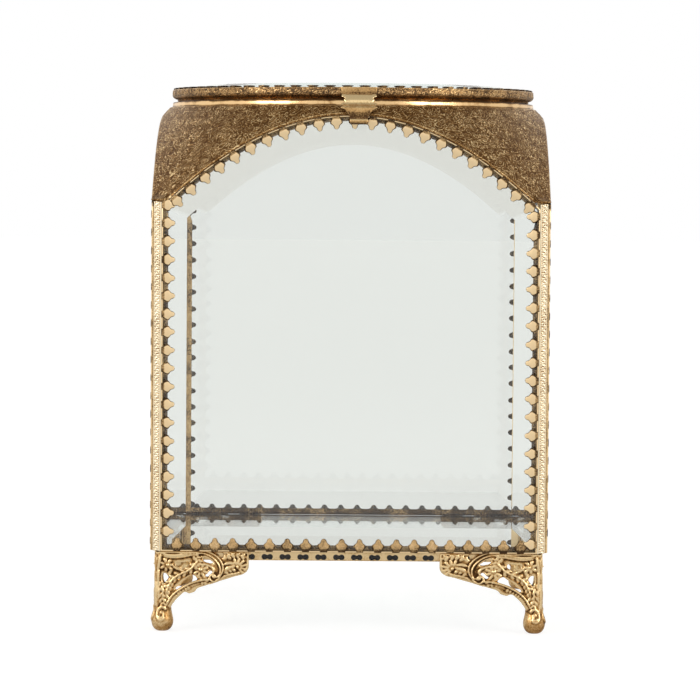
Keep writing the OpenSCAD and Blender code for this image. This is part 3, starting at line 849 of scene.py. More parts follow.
# %% Lid ring
RING_COLUMNS = 1200
RING_RELIEF = 0.13
RING_MOTIFS = 270
RING_MOTIF = 1.22
RING_WALL = 3.6
SEAT_GAP = 0.1
LID_R = lid_high[0]
ring_z0, ring_z1 = lid_low[2], lid_high[2]
under = np.linspace(0, math.pi / 2, 12)
rounding = np.stack([LID_R - 1.75 * (1 - np.sin(under)), ring_z0 + 0.5 + 1.25 * (1 - np.cos(under))], -1)
face_z = np.linspace(ring_z0 + 1.75, ring_z1 - 0.3, 12)[1:]
face = np.stack([np.full(len(face_z), LID_R), face_z], -1)
lip = [
    (LID_R - RING_WALL, ring_z0 + 0.3), (LID_R - 2.1, ring_z0 + 0.3), (LID_R - 1.95, ring_z0 + 0.02),
    (LID_R - 1.6, ring_z0), (LID_R - 1.42, ring_z0 + 0.2), (LID_R - 1.62, ring_z0 + 0.42),
]
seat = [
    (LID_R - 0.06, ring_z1 - 0.12), (LID_R - 0.22, ring_z1), (DISC_R + 0.14, ring_z1),
    (DISC_R + SEAT_GAP, ring_z1 - 0.1), (DISC_R + SEAT_GAP, disc_low[2] - 0.05),
    (LID_R - RING_WALL, disc_low[2] - 0.05),
]
ring_profile = np.concatenate([lip, rounding, face, seat])
# Rows of the profile: the embossed rounding and face, the plain lip, and the foot of the rounding, which gets
# painted shade.
EMBOSSED = slice(len(lip) + 1, len(lip) + len(rounding) + len(face) - 1)
LIP_EDGE = slice(3, len(lip))
SHADED = slice(len(lip), len(lip) + 4)
# The height beside the embossed rows, the wear of the hidden rows, and how much of it the painted shade
# leaves.
MARGIN_HEIGHT, HIDDEN_WORN, SHADE = 0.4, 0.3, 0.1
ring_points = lathe(ring_profile, RING_COLUMNS)
ring_v = np.concatenate([[0], np.cumsum(np.hypot(*np.diff(ring_profile, axis=0).T))])[:, None]
ring_u = np.arange(RING_COLUMNS)[None, :] / RING_COLUMNS * RING_MOTIFS * RING_MOTIF
ring_curls = scrollwork(ring_u, ring_v + 0 * ring_u, RING_MOTIF, 0.56, 0.4, 17, RING_MOTIFS)
ring_height = np.ones((len(ring_profile), RING_COLUMNS))
ring_height[EMBOSSED] = ring_curls[EMBOSSED]
ring_height[EMBOSSED.start - 1] = ring_height[EMBOSSED.stop] = MARGIN_HEIGHT
shrink = 1 - RING_RELIEF * (1 - ring_height) / LID_R
ring_points[..., :2] *= shrink[..., None]
ring_worn = ring_height.copy()
ring_worn[:3] = ring_worn[-3:] = HIDDEN_WORN
# The foot of the rounding gets painted shade.
ring_worn[SHADED] *= SHADE
ring_plain_and_highlight = np.zeros_like(ring_height)
# The lip's edge is plain, and the plain mark also lightens it: a painted highlight line along the lip.
ring_plain_and_highlight[LIP_EDGE] = 1
marks = {"worn": ring_worn.ravel(), "plain": ring_plain_and_highlight.ravel()}
ring_faces = [quads(len(ring_profile), RING_COLUMNS, True, True)]
rolled_ring = closed_piece("rolled_lid_ring", ring_points.reshape(-1, 3), ring_faces, marks)
sharpened(rolled_ring, 45)
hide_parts("lid_ring")
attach(rolled_ring, "lid")
print("ring radius", round(LID_R, 2), "height", round(ring_z1 - ring_z0, 2), "embossed rows", EMBOSSED)

# %% [markdown]
# ## The lid's prongs
# A row of prongs along the ring's top holds the disc. They are the same small grid as before, laid on
# a circle: in from the edge becomes towards the axis, and depth becomes downwards. Linked copies
# of one object would look the same, but one mesh is one piece.

# %% Lid prongs
LID_PRONGS = 65
PRONG_CIRCLE = LID_R - 0.35
# The lid's prongs lie flatter than the panes' prongs: this share of their slope.
LID_PRONG_SLOPE = 0.45
PRONG_TOP = node_box("lid_prongs")[1][2]
turns = TAU * (np.arange(LID_PRONGS) + 0.5) / LID_PRONGS
radial = np.stack([np.cos(turns), np.sin(turns)], -1)[:, None, None, :]
sideways = np.stack([-np.sin(turns), np.cos(turns)], -1)[:, None, None, :]
lid_inset = PRONG_CIRCLE - prong[None, ..., 1]
flat = radial * lid_inset[..., None] + sideways * prong[None, ..., 0, None]
slope = PRONG_STATIONS[:, 2][None, :, None]
press = LID_PRONG_SLOPE * slope + (prong[None, ..., 2] - slope)
up = np.broadcast_to(PRONG_TOP - press, flat.shape[:3])
lid_prong_points = np.concatenate([flat, up[..., None]], -1)
# The lid's prongs take the mark of the first prong, a floor prong, with its painted shade outline.
first_prong_worn = set_prongs(9)[1].reshape(len(places), *prong.shape[:2])[:1]
marks = {"worn": np.broadcast_to(first_prong_worn, flat.shape[:3]).ravel()}
faces = grid_faces(LID_PRONGS, len(PRONG_STATIONS), len(PRONG_RING))
prong_ring = closed_piece("lid_prong_row", lid_prong_points.reshape(-1, 3), faces, marks)
sharpened(prong_ring, 40)
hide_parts("lid_prongs")
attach(prong_ring, "lid")
print("prongs on the lid:", LID_PRONGS)

# %% [markdown]
# ## Clasp
# The lid is lifted by a leaf of stamped brass that is soldered to the front of the ring. It bends
# over the gap, hangs in front of the shoulder and ends in a small roll. Its grid follows the bend
# downwards and a changing width across, and a pattern of veins and edge curls gives the leaf. Its
# brightness down the leaf and round the roll is painted light and shade. A flat sheet with a Curve
# modifier would bend too, but here the width can change at every height.

# %% Clasp
CLASP_X = 2.0
CLASP_W = 9.8
ROLL_R = 0.85
ROLL_HALF = 2.5
ROLL_END = 0.25
ROLL_Y = -node_box("clasp")[0][1] - ROLL_R
ROLL_Z = APEX_Z - 1.7


def through(points, steps):
    """A smooth curve through a list of points (Catmull-Rom), as steps points for each stretch."""
    p = np.asarray(points, float)
    p = np.concatenate([[2 * p[0] - p[1]], p, [2 * p[-1] - p[-2]]])
    t = (np.arange(steps) / steps)[None, :, None]
    a, b, c, d = (p[k:len(p) - 3 + k, None, :] for k in range(4))
    curve = 0.5 * (2 * b + (c - a) * t + (2 * a - 5 * b + 4 * c - d) * t**2 + (3 * b - a - 3 * c + d) * t**3)
    return np.concatenate([curve.reshape(-1, p.shape[1]), p[-2:-1]])


collar_out = collar_high[0]
# Down the clasp: distance from the axis, height, and half width as a share of the top's.
clasp_line = through([
    (LID_R + 0.06, ring_z1, 1.0), (LID_R + 0.08, ring_z1 - 0.9, 1.0), (LID_R + 0.16, ring_z1 - 1.75, 0.95),
    (LID_R + 0.62, ring_z1 - 2.5, 0.96), (collar_out + 0.35, ring_z1 - 3.5, 0.80),
    (collar_out + 0.75, ring_z1 - 4.6, 0.94), (HALF + 0.32, ring_z1 - 5.6, 0.97),
    (HALF + 0.62, ring_z1 - 6.9, 0.68), (ROLL_Y - 0.3, ring_z1 - 8.0, 0.54),
    (ROLL_Y + 0.02, ROLL_Z + ROLL_R * 0.85, 0.51),
], 7)
# Painted light and shade down the leaf, from its top to its roll: painted highlights on the bar's top edge
# and across the fold, painted shade on the lower bar and towards the roll. Pairs of place down and
# brightness.
CLASP_PAINTED_LIGHT = np.array([
    (0, 0.6), (0.04, 0.42), (0.2, 0.24), (0.27, 0.7), (0.31, 1.0), (0.38, 1.2), (0.46, 1.3), (0.52, 0.8),
    (0.6, 0.7), (0.72, 0.5), (0.8, 0.22), (0.92, 0.08), (1.0, 0.2),
])
clasp_across = np.linspace(-1, 1, 41)


def clasp_height(s, t):
    """Height of the leaf at s across (-1 to 1) and t down (0 to 1): bar, fold, side curls, faint veins."""
    bar = np.clip((0.2 - t) / 0.03, 0, 1) * 0.7
    bend = 0.95 * ridge(t - 0.36, 0.09)
    curl = np.hypot((np.abs(s) - 0.86) * 1.3, (t - 0.30) * 3.4)
    lobe = np.hypot(np.abs(s) - 0.80, (t - 0.56) * 2.2)
    rims = highest(ridge(curl - 0.12, 0.10), ridge(lobe - 0.17, 0.10))
    veins = 0.72 + 0.10 * np.cos(TAU * (np.abs(s) - 0.5 * t) / 0.24) + 0.05 * np.cos(TAU * t / 0.045)
    return highest(bar, rims, bend, np.clip((t - 0.24) / 0.05, 0, 1) * veins)


def clasp_sheet():
    """The bent leaf as a closed sheet: embossed outer skin and plain inner skin.
    x = half width x s, and y follows a flattened circle: -sqrt(distance^2 - (0.55 x)^2)."""
    radius, z, width = clasp_line.T
    t = np.linspace(0, 1, len(radius))[:, None]
    s = clasp_across[None, :]
    middle_part = np.clip((t - 0.3) / 0.1, 0, 1) * np.clip((0.8 - t) / 0.1, 0, 1)
    scallop = 1 + 0.07 * np.cos(TAU * (t - 0.56) * 9) * middle_part
    x = CLASP_X + s * width[:, None] * CLASP_W / 2 * scallop
    height = clasp_height(s, t)
    edge = np.clip((1 - np.abs(s)) / 0.06, 0, 1)
    skins = []
    for lift in (0.22 + 0.20 * (height - 0.4) * edge + 0.08 * edge, np.zeros_like(height)):
        distance = radius[:, None] + lift
        skins.append(np.stack([x, -np.sqrt(distance**2 - (x * 0.55) ** 2), z[:, None] + 0 * x], -1))
    ring = np.concatenate([skins[0], skins[1][:, ::-1]], 1)
    shade = np.interp(t, *CLASP_PAINTED_LIGHT.T)
    # A painted highlight down the middle of the fold.
    shade = shade + 0.5 * np.exp(-(s / 0.4) ** 2) * ridge(t - 0.37, 0.09)
    outer_worn = shade * (0.4 + 0.6 * height) + 0.6 * np.clip(height - 0.85, 0, 1)
    worn = np.concatenate([outer_worn, np.full(height.shape, 0.2)], 1)
    return ring, worn


def clasp_roll():
    """The roll at the clasp's foot: a short tube along X with rounded ends and six shallow flutes."""
    end = np.linspace(0, math.pi / 2, 5)
    reach = ROLL_HALF - ROLL_END * (1 - np.sin(end))
    along = np.concatenate([-reach[::-1], reach])
    drop = ROLL_END * (1 - np.cos(end))
    round_off = np.concatenate([drop[::-1], drop])
    angle = TAU * np.arange(28) / 28
    radius = (ROLL_R - round_off)[:, None] * (1 - 0.04 * (1 + np.cos(6 * angle)))[None, :]
    x = np.broadcast_to(CLASP_X + along[:, None], radius.shape)
    return np.stack([x, -ROLL_Y + radius * np.cos(angle), ROLL_Z + radius * np.sin(angle)], -1)


sheet_points, sheet_worn = clasp_sheet()
roll_points = clasp_roll()
clasp_points, clasp_faces = gathered([closed_tube(sheet_points), closed_tube(roll_points)])
# Painted light on the roll: a painted highlight along its top and painted shade underneath.
roll_worn = np.interp((roll_points[..., 2] - ROLL_Z) / ROLL_R, [-0.9, 0.1, 0.7], [0.05, 0.4, 0.95])
worn = np.concatenate([sheet_worn.ravel(), roll_worn.ravel()])
leaf_clasp = sharpened(write_mesh("leaf_clasp", clasp_points, clasp_faces, {"worn": worn}), 50)
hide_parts("clasp")
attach(leaf_clasp, "lid")
print("clasp", len(leaf_clasp.data.polygons), "faces")

# %% [markdown]
# ## Cast corner feet
# A foot is one brass casting: two pierced wings that meet at the corner, over a scrolled leg that
# ends in a ball. A caster's pattern is carved from scrolls, leaves and ribs that run into each
# other. Here every scroll and leaf is a stroke, a tube with an oval cross-section that swells
# and thins along its path. The strokes of one wing are drawn flat, copied across the corner for
# the other wing, and then fused into a single skin by a voxel remesh, which also softens the
# joints the way a casting does. Drawing with strokes keeps the openings open by themselves. Sculpting
# would be the usual way, but a drawn stroke can be moved by changing one number.

# %% Strokes
FOOT_MIDDLE = 52.75
WING_START = 0.5
WING_STRETCH = 1.03
strokes = []


def stroke(points, width, height=0.75, out=0.0, taper=(0.35, 0.35)):
    """Adds a stroke: (u, v) points in from the corner and up, full width, half height, push outwards."""
    strokes.append((points, width, height, out, taper))


def spiral(centre, start, radius, turns, hand, shrink=0.86):
    """Points of a scroll that winds in on its centre from a start angle in degrees."""
    t = np.linspace(0, 1, 22)
    angle = math.radians(start) + hand * TAU * turns * t
    r = radius * (1 - shrink * t)
    return [(centre[0] + a, centre[1] + b) for a, b in zip(r * np.cos(angle), r * np.sin(angle))]


def rays(centre, inner, outer, first, last, count, width, height, out):
    """Ribs of a fan or petals of a flower, round a centre from the first to the last angle."""
    for angle in np.radians(np.linspace(first, last, count)):
        c, s = math.cos(angle), math.sin(angle)
        ends = [(centre[0] + r * c, centre[1] + r * s) for r in (inner, (inner + outer) / 2, outer)]
        stroke(ends, width, height, out, (0.5, 0.7))


def leaflets(points, count, length, width, lean, out=0.25):
    """Pairs of small leaves along a branch, leaning forwards."""
    path = through(points, 12)
    for k in range(count):
        i = int((k + 0.5) / count * (len(path) - 2))
        ahead = path[i + 1] - path[i]
        ahead = ahead / np.hypot(*ahead)
        for hand in (-1, 1):
            c, s = math.cos(math.radians(lean)), hand * math.sin(math.radians(lean))
            way = np.array([ahead[0] * c - ahead[1] * s, ahead[0] * s + ahead[1] * c])
            root, tip = path[i] + 0.2 * way, path[i] + length * way
            middle = (root + tip) / 2 + 0.12 * ahead
            stroke([tuple(root), tuple(middle), tuple(tip)], width, 0.55, out, (0.6, 0.15))


print("a scroll of one turn has", len(spiral((0, 0), 0, 1.0, 1.0, 1)), "points")

# %% [markdown]
# ## Swag and great scroll
# A long leaf, the swag, lies along the top edge of the wing and runs out into a great C-scroll, which
# winds in on a volute. Fine lines follow the scroll on both sides. They could be cut into the broad
# stroke, but laid on top of it they are still crisp after the remesh.

# %% Swag and great scroll
# Top swag, a long boat-shaped leaf with a groove.
stroke([(2.4, 21.9), (4.2, 21.2), (7.0, 21.1), (9.8, 21.5), (12.8, 22.0)], 1.25, 0.85, 0.15)
stroke([(2.2, 22.0), (5.0, 22.0), (8.5, 22.0), (12.6, 22.1)], 0.55, 0.7, 0.3)
stroke([(3.0, 20.9), (6.0, 20.4), (9.4, 20.8), (12.6, 21.6)], 0.55, 0.7, 0.3)
# Great C-scroll with its volute, a double line.
big_scroll = [
    (12.6, 22.0), (14.6, 21.9), (16.7, 20.9), (18.3, 19.2), (18.9, 17.3), (18.5, 15.7), (17.3, 14.7),
]
stroke(big_scroll, 1.9, 0.75, 0.0, (0.7, 0.9))
stroke([(u + 0.45, v + 0.35) for u, v in big_scroll[:-1]] + [(17.9, 14.3)], 0.45, 0.6, 0.55)
stroke([(u - 0.35, v - 0.35) for u, v in big_scroll[:-1]] + [(17.2, 15.2)], 0.42, 0.6, 0.5)
stroke(spiral((16.7, 15.1), -30, 1.35, 1.2, -1), 0.62, 0.7, 0.3)
stroke([(16.4, 15.2), (16.9, 15.1)], 0.9, 0.8, 0.35)
# Inner hook of the scroll and the leaf cluster beside it.
stroke([(13.6, 18.6), (14.9, 18.5), (16.2, 17.9), (16.8, 17.0), (16.6, 16.1)], 0.8, 0.65, 0.2)
rays((13.3, 17.0), 0.3, 2.1, -150, 150, 8, 1.05, 0.65, 0.25)
stroke([(12.9, 17.2), (13.7, 17.2)], 0.9, 0.9, 0.35)
stroke([(12.0, 15.8), (13.4, 14.9), (15.6, 14.5)], 1.3, 0.7, 0.1, (0.7, 0.7))
# Stem from the swag down to the cluster.
stroke([(11.0, 21.6), (12.2, 20.2), (12.9, 18.9), (13.0, 17.4)], 2.3, 0.75, 0.05, (0.8, 0.8))
leaflets([(11.3, 21.3), (12.4, 20.2), (13.0, 18.4)], 4, 1.4, 0.7, 48, 0.4)
print("strokes in the swag, the scroll and the stem:", len(strokes))

# %% [markdown]
# ## End panel
# The far end of the wing is a small shield: a fan and a few leaves on a closed ground. The ground is a
# handful of broad flat strokes that are set back behind the rest. One flat plate would do as well, but
# broad strokes leave it a little uneven, as the ground of a casting is.

# %% End panel
# The ground, the fan and the leaves, and then the panel's rim and what closes the ground behind them.
stroke([(19.4, 20.9), (22.0, 20.7), (25.4, 20.6)], 2.7, 0.5, -0.15, (0.9, 1.0))
stroke([(19.6, 18.5), (22.4, 18.7), (25.5, 18.9)], 2.6, 0.5, -0.15, (0.9, 1.0))
stroke([(19.0, 16.4), (21.0, 16.8), (23.4, 17.3), (25.1, 17.9)], 1.9, 0.5, -0.15, (0.8, 0.9))
rays((23.2, 17.9), 0.5, 2.4, -48, 112, 6, 0.85, 0.55, 0.38)
stroke([(22.9, 17.9), (23.4, 17.9)], 0.9, 0.8, 0.4)
stroke([(20.0, 20.3), (21.6, 21.2), (23.6, 21.2), (25.6, 20.6)], 1.2, 0.6, 0.25, (0.2, 0.3))
leaflets([(20.1, 20.6), (22.4, 21.2), (25.2, 20.8)], 4, 1.0, 0.7, 50, 0.45)
stroke([(19.5, 16.8), (20.9, 17.7), (22.6, 18.3)], 1.35, 0.6, 0.4, (0.2, 0.4))
stroke([(19.5, 18.6), (21.0, 19.0), (22.7, 18.9)], 1.0, 0.55, 0.4, (0.3, 0.5))
stroke([(19.4, 16.0), (20.7, 17.0), (22.3, 17.5)], 1.0, 0.6, 0.3, (0.2, 0.4))
leaflets([(19.4, 16.1), (20.8, 17.0), (22.2, 17.5)], 3, 0.95, 0.6, 48, 0.42)
stroke([(19.2, 21.9), (22.0, 21.95), (26.0, 21.95)], 0.6, 0.6, 0.15, (0.8, 0.8))
stroke([(18.4, 14.6), (20.4, 15.6), (23.0, 16.2), (25.2, 17.1), (25.9, 18.6), (26.0, 21.6)], 0.5, 0.65, 0.2)
stroke([(19.6, 21.5), (22.6, 21.5), (26.0, 21.5)], 1.6, 0.5, -0.15, (1.0, 1.0))
stroke([(19.4, 19.9), (22.6, 19.9), (26.0, 19.9)], 2.0, 0.5, -0.2, (1.0, 1.0))
stroke([(19.4, 17.6), (22.4, 17.9), (26.0, 18.4)], 2.2, 0.5, -0.2, (1.0, 1.0))
print("strokes so far:", len(strokes))

# %% [markdown]
# ## Flower and branch
# A flower with seven petals sits near the corner, and an acanthus branch runs from the great scroll down
# into the leg. The leaves of the branch are set in pairs by a loop. They could be drawn one by one, but
# the loop keeps them evenly spaced when the branch is moved.

# %% Flower and branch
# The leg's body: the column and the branch run together above the ball.
stroke([(3.9, 13.2), (3.4, 11.2), (3.1, 8.8), (2.8, 5.4)], 4.2, 0.8, -0.1, (0.75, 1.0))
stroke([(2.0, 13.6), (2.0, 10.0), (2.2, 6.0)], 2.2, 0.85, 0.0, (0.7, 1.0))
# Flower near the corner and the acanthus branch down to the leg.
rays((4.2, 18.4), 0.25, 1.75, 0, 315, 7, 1.05, 0.65, 0.3)
stroke([(4.1, 18.4), (4.7, 18.4)], 0.85, 0.95, 0.4)
branch = [(12.4, 19.4), (10.5, 17.2), (7.9, 15.9), (5.9, 14.5), (4.8, 12.6), (4.0, 10.6), (3.4, 8.2)]
stroke(branch, 2.3, 0.75, 0.1, (0.7, 0.9))
leaflets(branch, 10, 1.7, 0.95, 42, 0.4)
stroke(branch[:-1], 0.4, 0.6, 0.62)
stroke([(4.6, 20.6), (3.9, 19.6), (4.1, 18.6)], 0.8, 0.7, 0.1)
stroke([(5.6, 18.2), (7.0, 17.4), (8.0, 16.9)], 0.8, 0.7, 0.1)
print("strokes so far:", len(strokes))

# %% [markdown]
# ## Edge moulding and corner column
# A moulding with small ribs, called gadroons, borders the wing below, and a column with long leaves stands
# at the corner, where the two wings meet. The ribs stand square to the moulding at even steps of its
# path. An Array modifier along a curve could set them too, but a short loop puts them in the same list of
# strokes as the rest.

# %% Moulding and column
# Edge moulding below, with gadroons, and the knuckle.
moulding = [(16.0, 14.4), (13.4, 14.2), (10.6, 13.3), (8.2, 12.0), (6.0, 10.3), (4.7, 8.4), (4.0, 6.8)]
stroke(moulding, 0.62, 0.75, 0.35, (0.7, 0.7))
stroke([(u + 0.2, v - 0.5) for u, v in moulding[1:]], 1.7, 0.65, -0.05, (0.7, 0.9))
edge_path = through(moulding[2:], 10)
for k in range(12):
    foot_of_rib = edge_path[4 + 3 * k]
    along = edge_path[5 + 3 * k] - foot_of_rib
    across = np.array([-along[1], along[0]]) / np.hypot(*along)
    stroke([tuple(foot_of_rib + across * r) for r in (0.25, 0.75, 1.25)], 0.62, 0.62, 0.2, (0.8, 0.7))
rays((14.2, 14.0), 0.2, 1.1, 0, 300, 6, 0.8, 0.6, 0.2)
stroke([(16.9, 14.0), (18.9, 14.6), (20.4, 15.4)], 0.9, 0.6, 0.0)
stroke([(8.6, 12.2), (9.6, 11.9), (10.5, 12.5)], 1.5, 0.6, -0.35)
# Corner column with two long leaves.
stroke([(2.6, 22.0), (2.1, 19.5), (1.9, 16.0), (1.8, 12.5), (1.9, 9.0)], 0.9, 0.8, -0.1, (0.9, 1.0))
stroke([(2.7, 21.6), (2.3, 19.4), (2.1, 17.4)], 0.9, 0.6, 0.35, (0.3, 0.3))
stroke([(2.2, 17.0), (2.0, 15.0), (2.1, 13.0)], 0.8, 0.6, 0.35, (0.3, 0.3))
stroke([(1.9, 12.4), (2.2, 10.6), (2.0, 8.4)], 0.9, 0.7, 0.35, (0.2, 0.4))
stroke([(3.0, 12.6), (3.2, 10.8), (3.0, 8.8)], 0.8, 0.7, 0.4, (0.2, 0.4))
leaflets([(2.6, 12.6), (2.9, 9.8), (3.3, 7.4)], 4, 1.6, 0.85, 32, 0.55)
stroke([(1.9, 20.6), (2.6, 20.0), (3.2, 19.2)], 0.7, 0.6, 0.1)
stroke([(4.0, 20.9), (3.4, 19.9), (3.0, 18.6), (2.4, 17.3)], 1.2, 0.7, 0.0, (0.7, 0.7))
stroke([(5.8, 17.6), (5.2, 16.6), (4.9, 15.2)], 1.2, 0.7, 0.0, (0.7, 0.7))
print("strokes in a wing:", len(strokes))

# %% [markdown]
# ## From strokes to a casting
# Each stroke becomes a closed tube. In the wing's flat drawing the tube has a place across and up,
# and its oval section stands out from the wing. The leg below the wings and the ball with
# its curled leaf complete the foot. Bevelled curves give tubes too, but only with a round section.

# %% Tubes for the strokes and the leg
OVAL = 12
oval = TAU * np.arange(OVAL) / OVAL


def tube(path, across, outwards):
    """A closed tube round a flat path (u, v): rows x OVAL x (u, v, out).
    Point = path + across x cos(t) to the side + outwards x sin(t)."""
    ahead = np.gradient(path, axis=0)
    ahead /= np.maximum(np.hypot(*ahead.T), 1e-9)[:, None]
    side = np.stack([-ahead[:, 1], ahead[:, 0]], -1)
    flat = path[:, None, :] + side[:, None, :] * (np.cos(oval) * across[:, None])[..., None]
    return np.concatenate([flat, (np.sin(oval) * outwards[:, None])[..., None]], -1)


def stroke_tube(points, width, height, out, taper):
    """The tube of one stroke, thinner at its ends by the taper's two shares."""
    path = through(points, 6)
    t = np.linspace(0, 1, len(path))
    ease = np.sin(math.pi * np.clip(t, 0.02, 0.98)) ** 0.6
    ends = taper[0] * (1 - t) + taper[1] * t
    swell = ends + (1 - ends) * ease
    grid = tube(path, width / 2 * swell, height * (0.6 + 0.4 * swell))
    grid[..., 2] += out
    return grid


# The leg from the ground up: height, distance of its axis from the casket's two middle planes, radius.
LEG = np.array([
    (0.0, 51.4, 1.3), (0.15, 51.4, 1.7), (0.3, 51.4, 1.95), (0.6, 51.4, 2.3), (1.1, 51.4, 2.65),
    (1.6, 51.4, 2.88), (2.5, 51.4, 3.06), (3.4, 51.4, 3.02), (4.5, 51.38, 2.76), (5.5, 51.35, 2.52),
    (6.3, 51.3, 2.38), (7.6, 51.3, 2.25), (9.0, 51.3, 2.1), (10.5, 51.45, 1.8), (12.0, 51.7, 1.45),
    (14.0, 52.0, 1.05), (17.0, 52.15, 0.8), (20.0, 52.1, 0.75), (22.0, 51.8, 0.7),
])


def leg_middle(z):
    """The leg's axis, x = y, at a height."""
    return -np.interp(z, LEG[:, 0], LEG[:, 1])


def leg_radius(z):
    """The leg's radius at a height."""
    return np.interp(z, LEG[:, 0], LEG[:, 2])


def on_leg(angle, z):
    """Points on the leg's skin: angle round its upright axis from the corner's diagonal, and height."""
    heading = math.radians(225) + angle
    middle, radius = leg_middle(z), leg_radius(z)
    return np.stack([middle + radius * np.cos(heading), middle + radius * np.sin(heading), z], -1)


def rope(path, radius, sides=OVAL):
    """A closed round tube along a path in space: point = path + radius x (side x cos + other x sin),
    where side and other are square to the path and to each other."""
    turn = TAU * np.arange(sides) / sides
    ahead = np.gradient(path, axis=0)
    ahead /= np.linalg.norm(ahead, axis=1)[:, None]
    side = np.cross(ahead, (0.3, 0.2, 0.93))
    side /= np.linalg.norm(side, axis=1)[:, None]
    other = np.cross(ahead, side)
    ring = side[:, None, :] * np.cos(turn)[None, :, None] + other[:, None, :] * np.sin(turn)[None, :, None]
    return path[:, None, :] + ring * radius[:, None, None]


print("the leg is", 2 * LEG[:, 2].max(), "mm thick at its ball")

# %% [markdown]
# ## The ground of a wing
# Behind its scrolls a wing has a thin pierced ground that ties them together. It is cut like fretwork:
# a fine grid of cells, of which only those inside the wing's edge and outside its openings stay.
# A closed line could be filled and cut by a boolean, but a grid never fails, and the remesh
# smooths its steps.

# %% Pierced ground of a wing
def inside(u, v, corners):
    """True where (u, v) lies in a polygon: a line to the right crosses its edges an odd number of times."""
    odd = np.zeros(u.shape, bool)
    for (a, b), (c, d) in zip(corners, corners[1:] + corners[:1]):
        if b != d:
            odd ^= ((b > v) != (d > v)) & (u < a + (v - b) * (c - a) / (d - b))
    return odd


def plate(kept, u, v, back, front):
    """A closed plate over the kept cells of a grid: front, back and a wall at every kept cell's free side."""
    rows, columns = len(v), len(u)
    place = np.arange(rows * columns).reshape(rows, columns)
    top = np.stack([place[:-1, :-1], place[:-1, 1:], place[1:, 1:], place[1:, :-1]], -1)
    shift = rows * columns
    faces = [top[kept], top[kept][:, ::-1] + shift]
    room = np.pad(kept, 1)
    for side, (i, j) in enumerate(((0, 1), (1, 2), (2, 1), (1, 0))):
        free = kept & ~room[i:i + kept.shape[0], j:j + kept.shape[1]]
        a, b = top[free][:, side], top[free][:, (side + 1) % 4]
        faces.append(np.stack([b, a, a + shift, b + shift], -1))
    uu, vv = np.meshgrid(u, v)
    skins = [np.stack([uu, vv, np.full(uu.shape, out)], -1).reshape(-1, 3) for out in (front, back)]
    return np.concatenate(skins), np.concatenate(faces)


# The wing's edge and its openings as places (u, v): in from the corner, and up from the table.
WING_EDGE = [
    (1.9, 22.1), (1.6, 19.5), (1.5, 16.5), (1.35, 12.0), (1.1, 9.0), (1.0, 7.0), (5.2, 6.4), (5.8, 7.6),
    (7.1, 9.3), (8.7, 10.8), (9.4, 10.9), (10.3, 10.5), (11.6, 10.9), (12.4, 11.9), (13.6, 12.4),
    (16.3, 13.2), (19.1, 14.2), (22.0, 15.2), (24.5, 15.8), (25.8, 16.8), (26.2, 18.2), (26.2, 22.1),
]
OPENINGS = [
    [(3.4, 16.3), (4.2, 15.9), (4.9, 15.1), (4.3, 13.9), (3.6, 12.9), (3.0, 13.9), (2.9, 15.3)],
    [(6.8, 19.0), (8.4, 18.9), (10.4, 19.4), (10.2, 18.1), (8.8, 17.2), (6.9, 17.0)],
    [(6.2, 11.4), (6.9, 12.4), (8.0, 12.9), (8.8, 14.0), (10.9, 15.7), (12.0, 15.4), (12.6, 14.4),
     (12.3, 13.8), (10.2, 13.3), (8.4, 12.5), (7.2, 11.5)],
    [(14.2, 15.0), (14.9, 16.2), (15.8, 16.8), (17.0, 16.6), (16.5, 15.7), (15.2, 15.1)],
    [(13.9, 20.4), (15.4, 20.2), (16.8, 19.1), (16.2, 18.7), (14.9, 19.0), (13.9, 19.4)],
    [(17.2, 21.8), (20.2, 21.8), (19.3, 20.4), (18.2, 20.5)],
]
CELL = 0.2
# The ground's back and front as pushes outwards, and the same for the thicker panel at its end.
GROUND_DEPTHS = (-0.75, 0.36)
PANEL_DEPTHS = (-0.7, 0.55)
PANEL_START = 19.4
wing_u = np.arange(0.8, 26.6, CELL)
wing_v = np.arange(6.0, 22.4, CELL)
middle_u, middle_v = np.meshgrid(wing_u[:-1] + CELL / 2, wing_v[:-1] + CELL / 2)
kept = inside(middle_u, middle_v, WING_EDGE)
for opening in OPENINGS:
    kept &= ~inside(middle_u, middle_v, opening)
panel = kept & (middle_u > PANEL_START)
plates = [plate(kept, wing_u, wing_v, *GROUND_DEPTHS), plate(panel, wing_u, wing_v, *PANEL_DEPTHS)]
print("cells in a wing's ground:", int(kept.sum()), "of", kept.size)

# %% [markdown]
# ## Putting the foot together
# The wing's flat drawing is stood on the front of the corner, and its mirror image, x and y
# swapped, is the wing on the side. The leg is one round tube from the floor up, and a pair of curled
# tendrils lies on each side of its ball. A Mirror modifier would copy the wing as well, but the
# casting has to hold both wings before it is fused.

# %% Wings, leg and tendrils
def on_wing(points):
    """Drawn places (u, v, out) as points of the front wing, and the same for the side wing."""
    u, v, out = points[..., 0], points[..., 1], points[..., 2]
    front = np.stack([WING_START + WING_STRETCH * u - HALF, -FOOT_MIDDLE - out, v], -1)
    return [front, front[..., (1, 0, 2)]]


LEG_TOP = 22.0
LEG_SIDES = 48
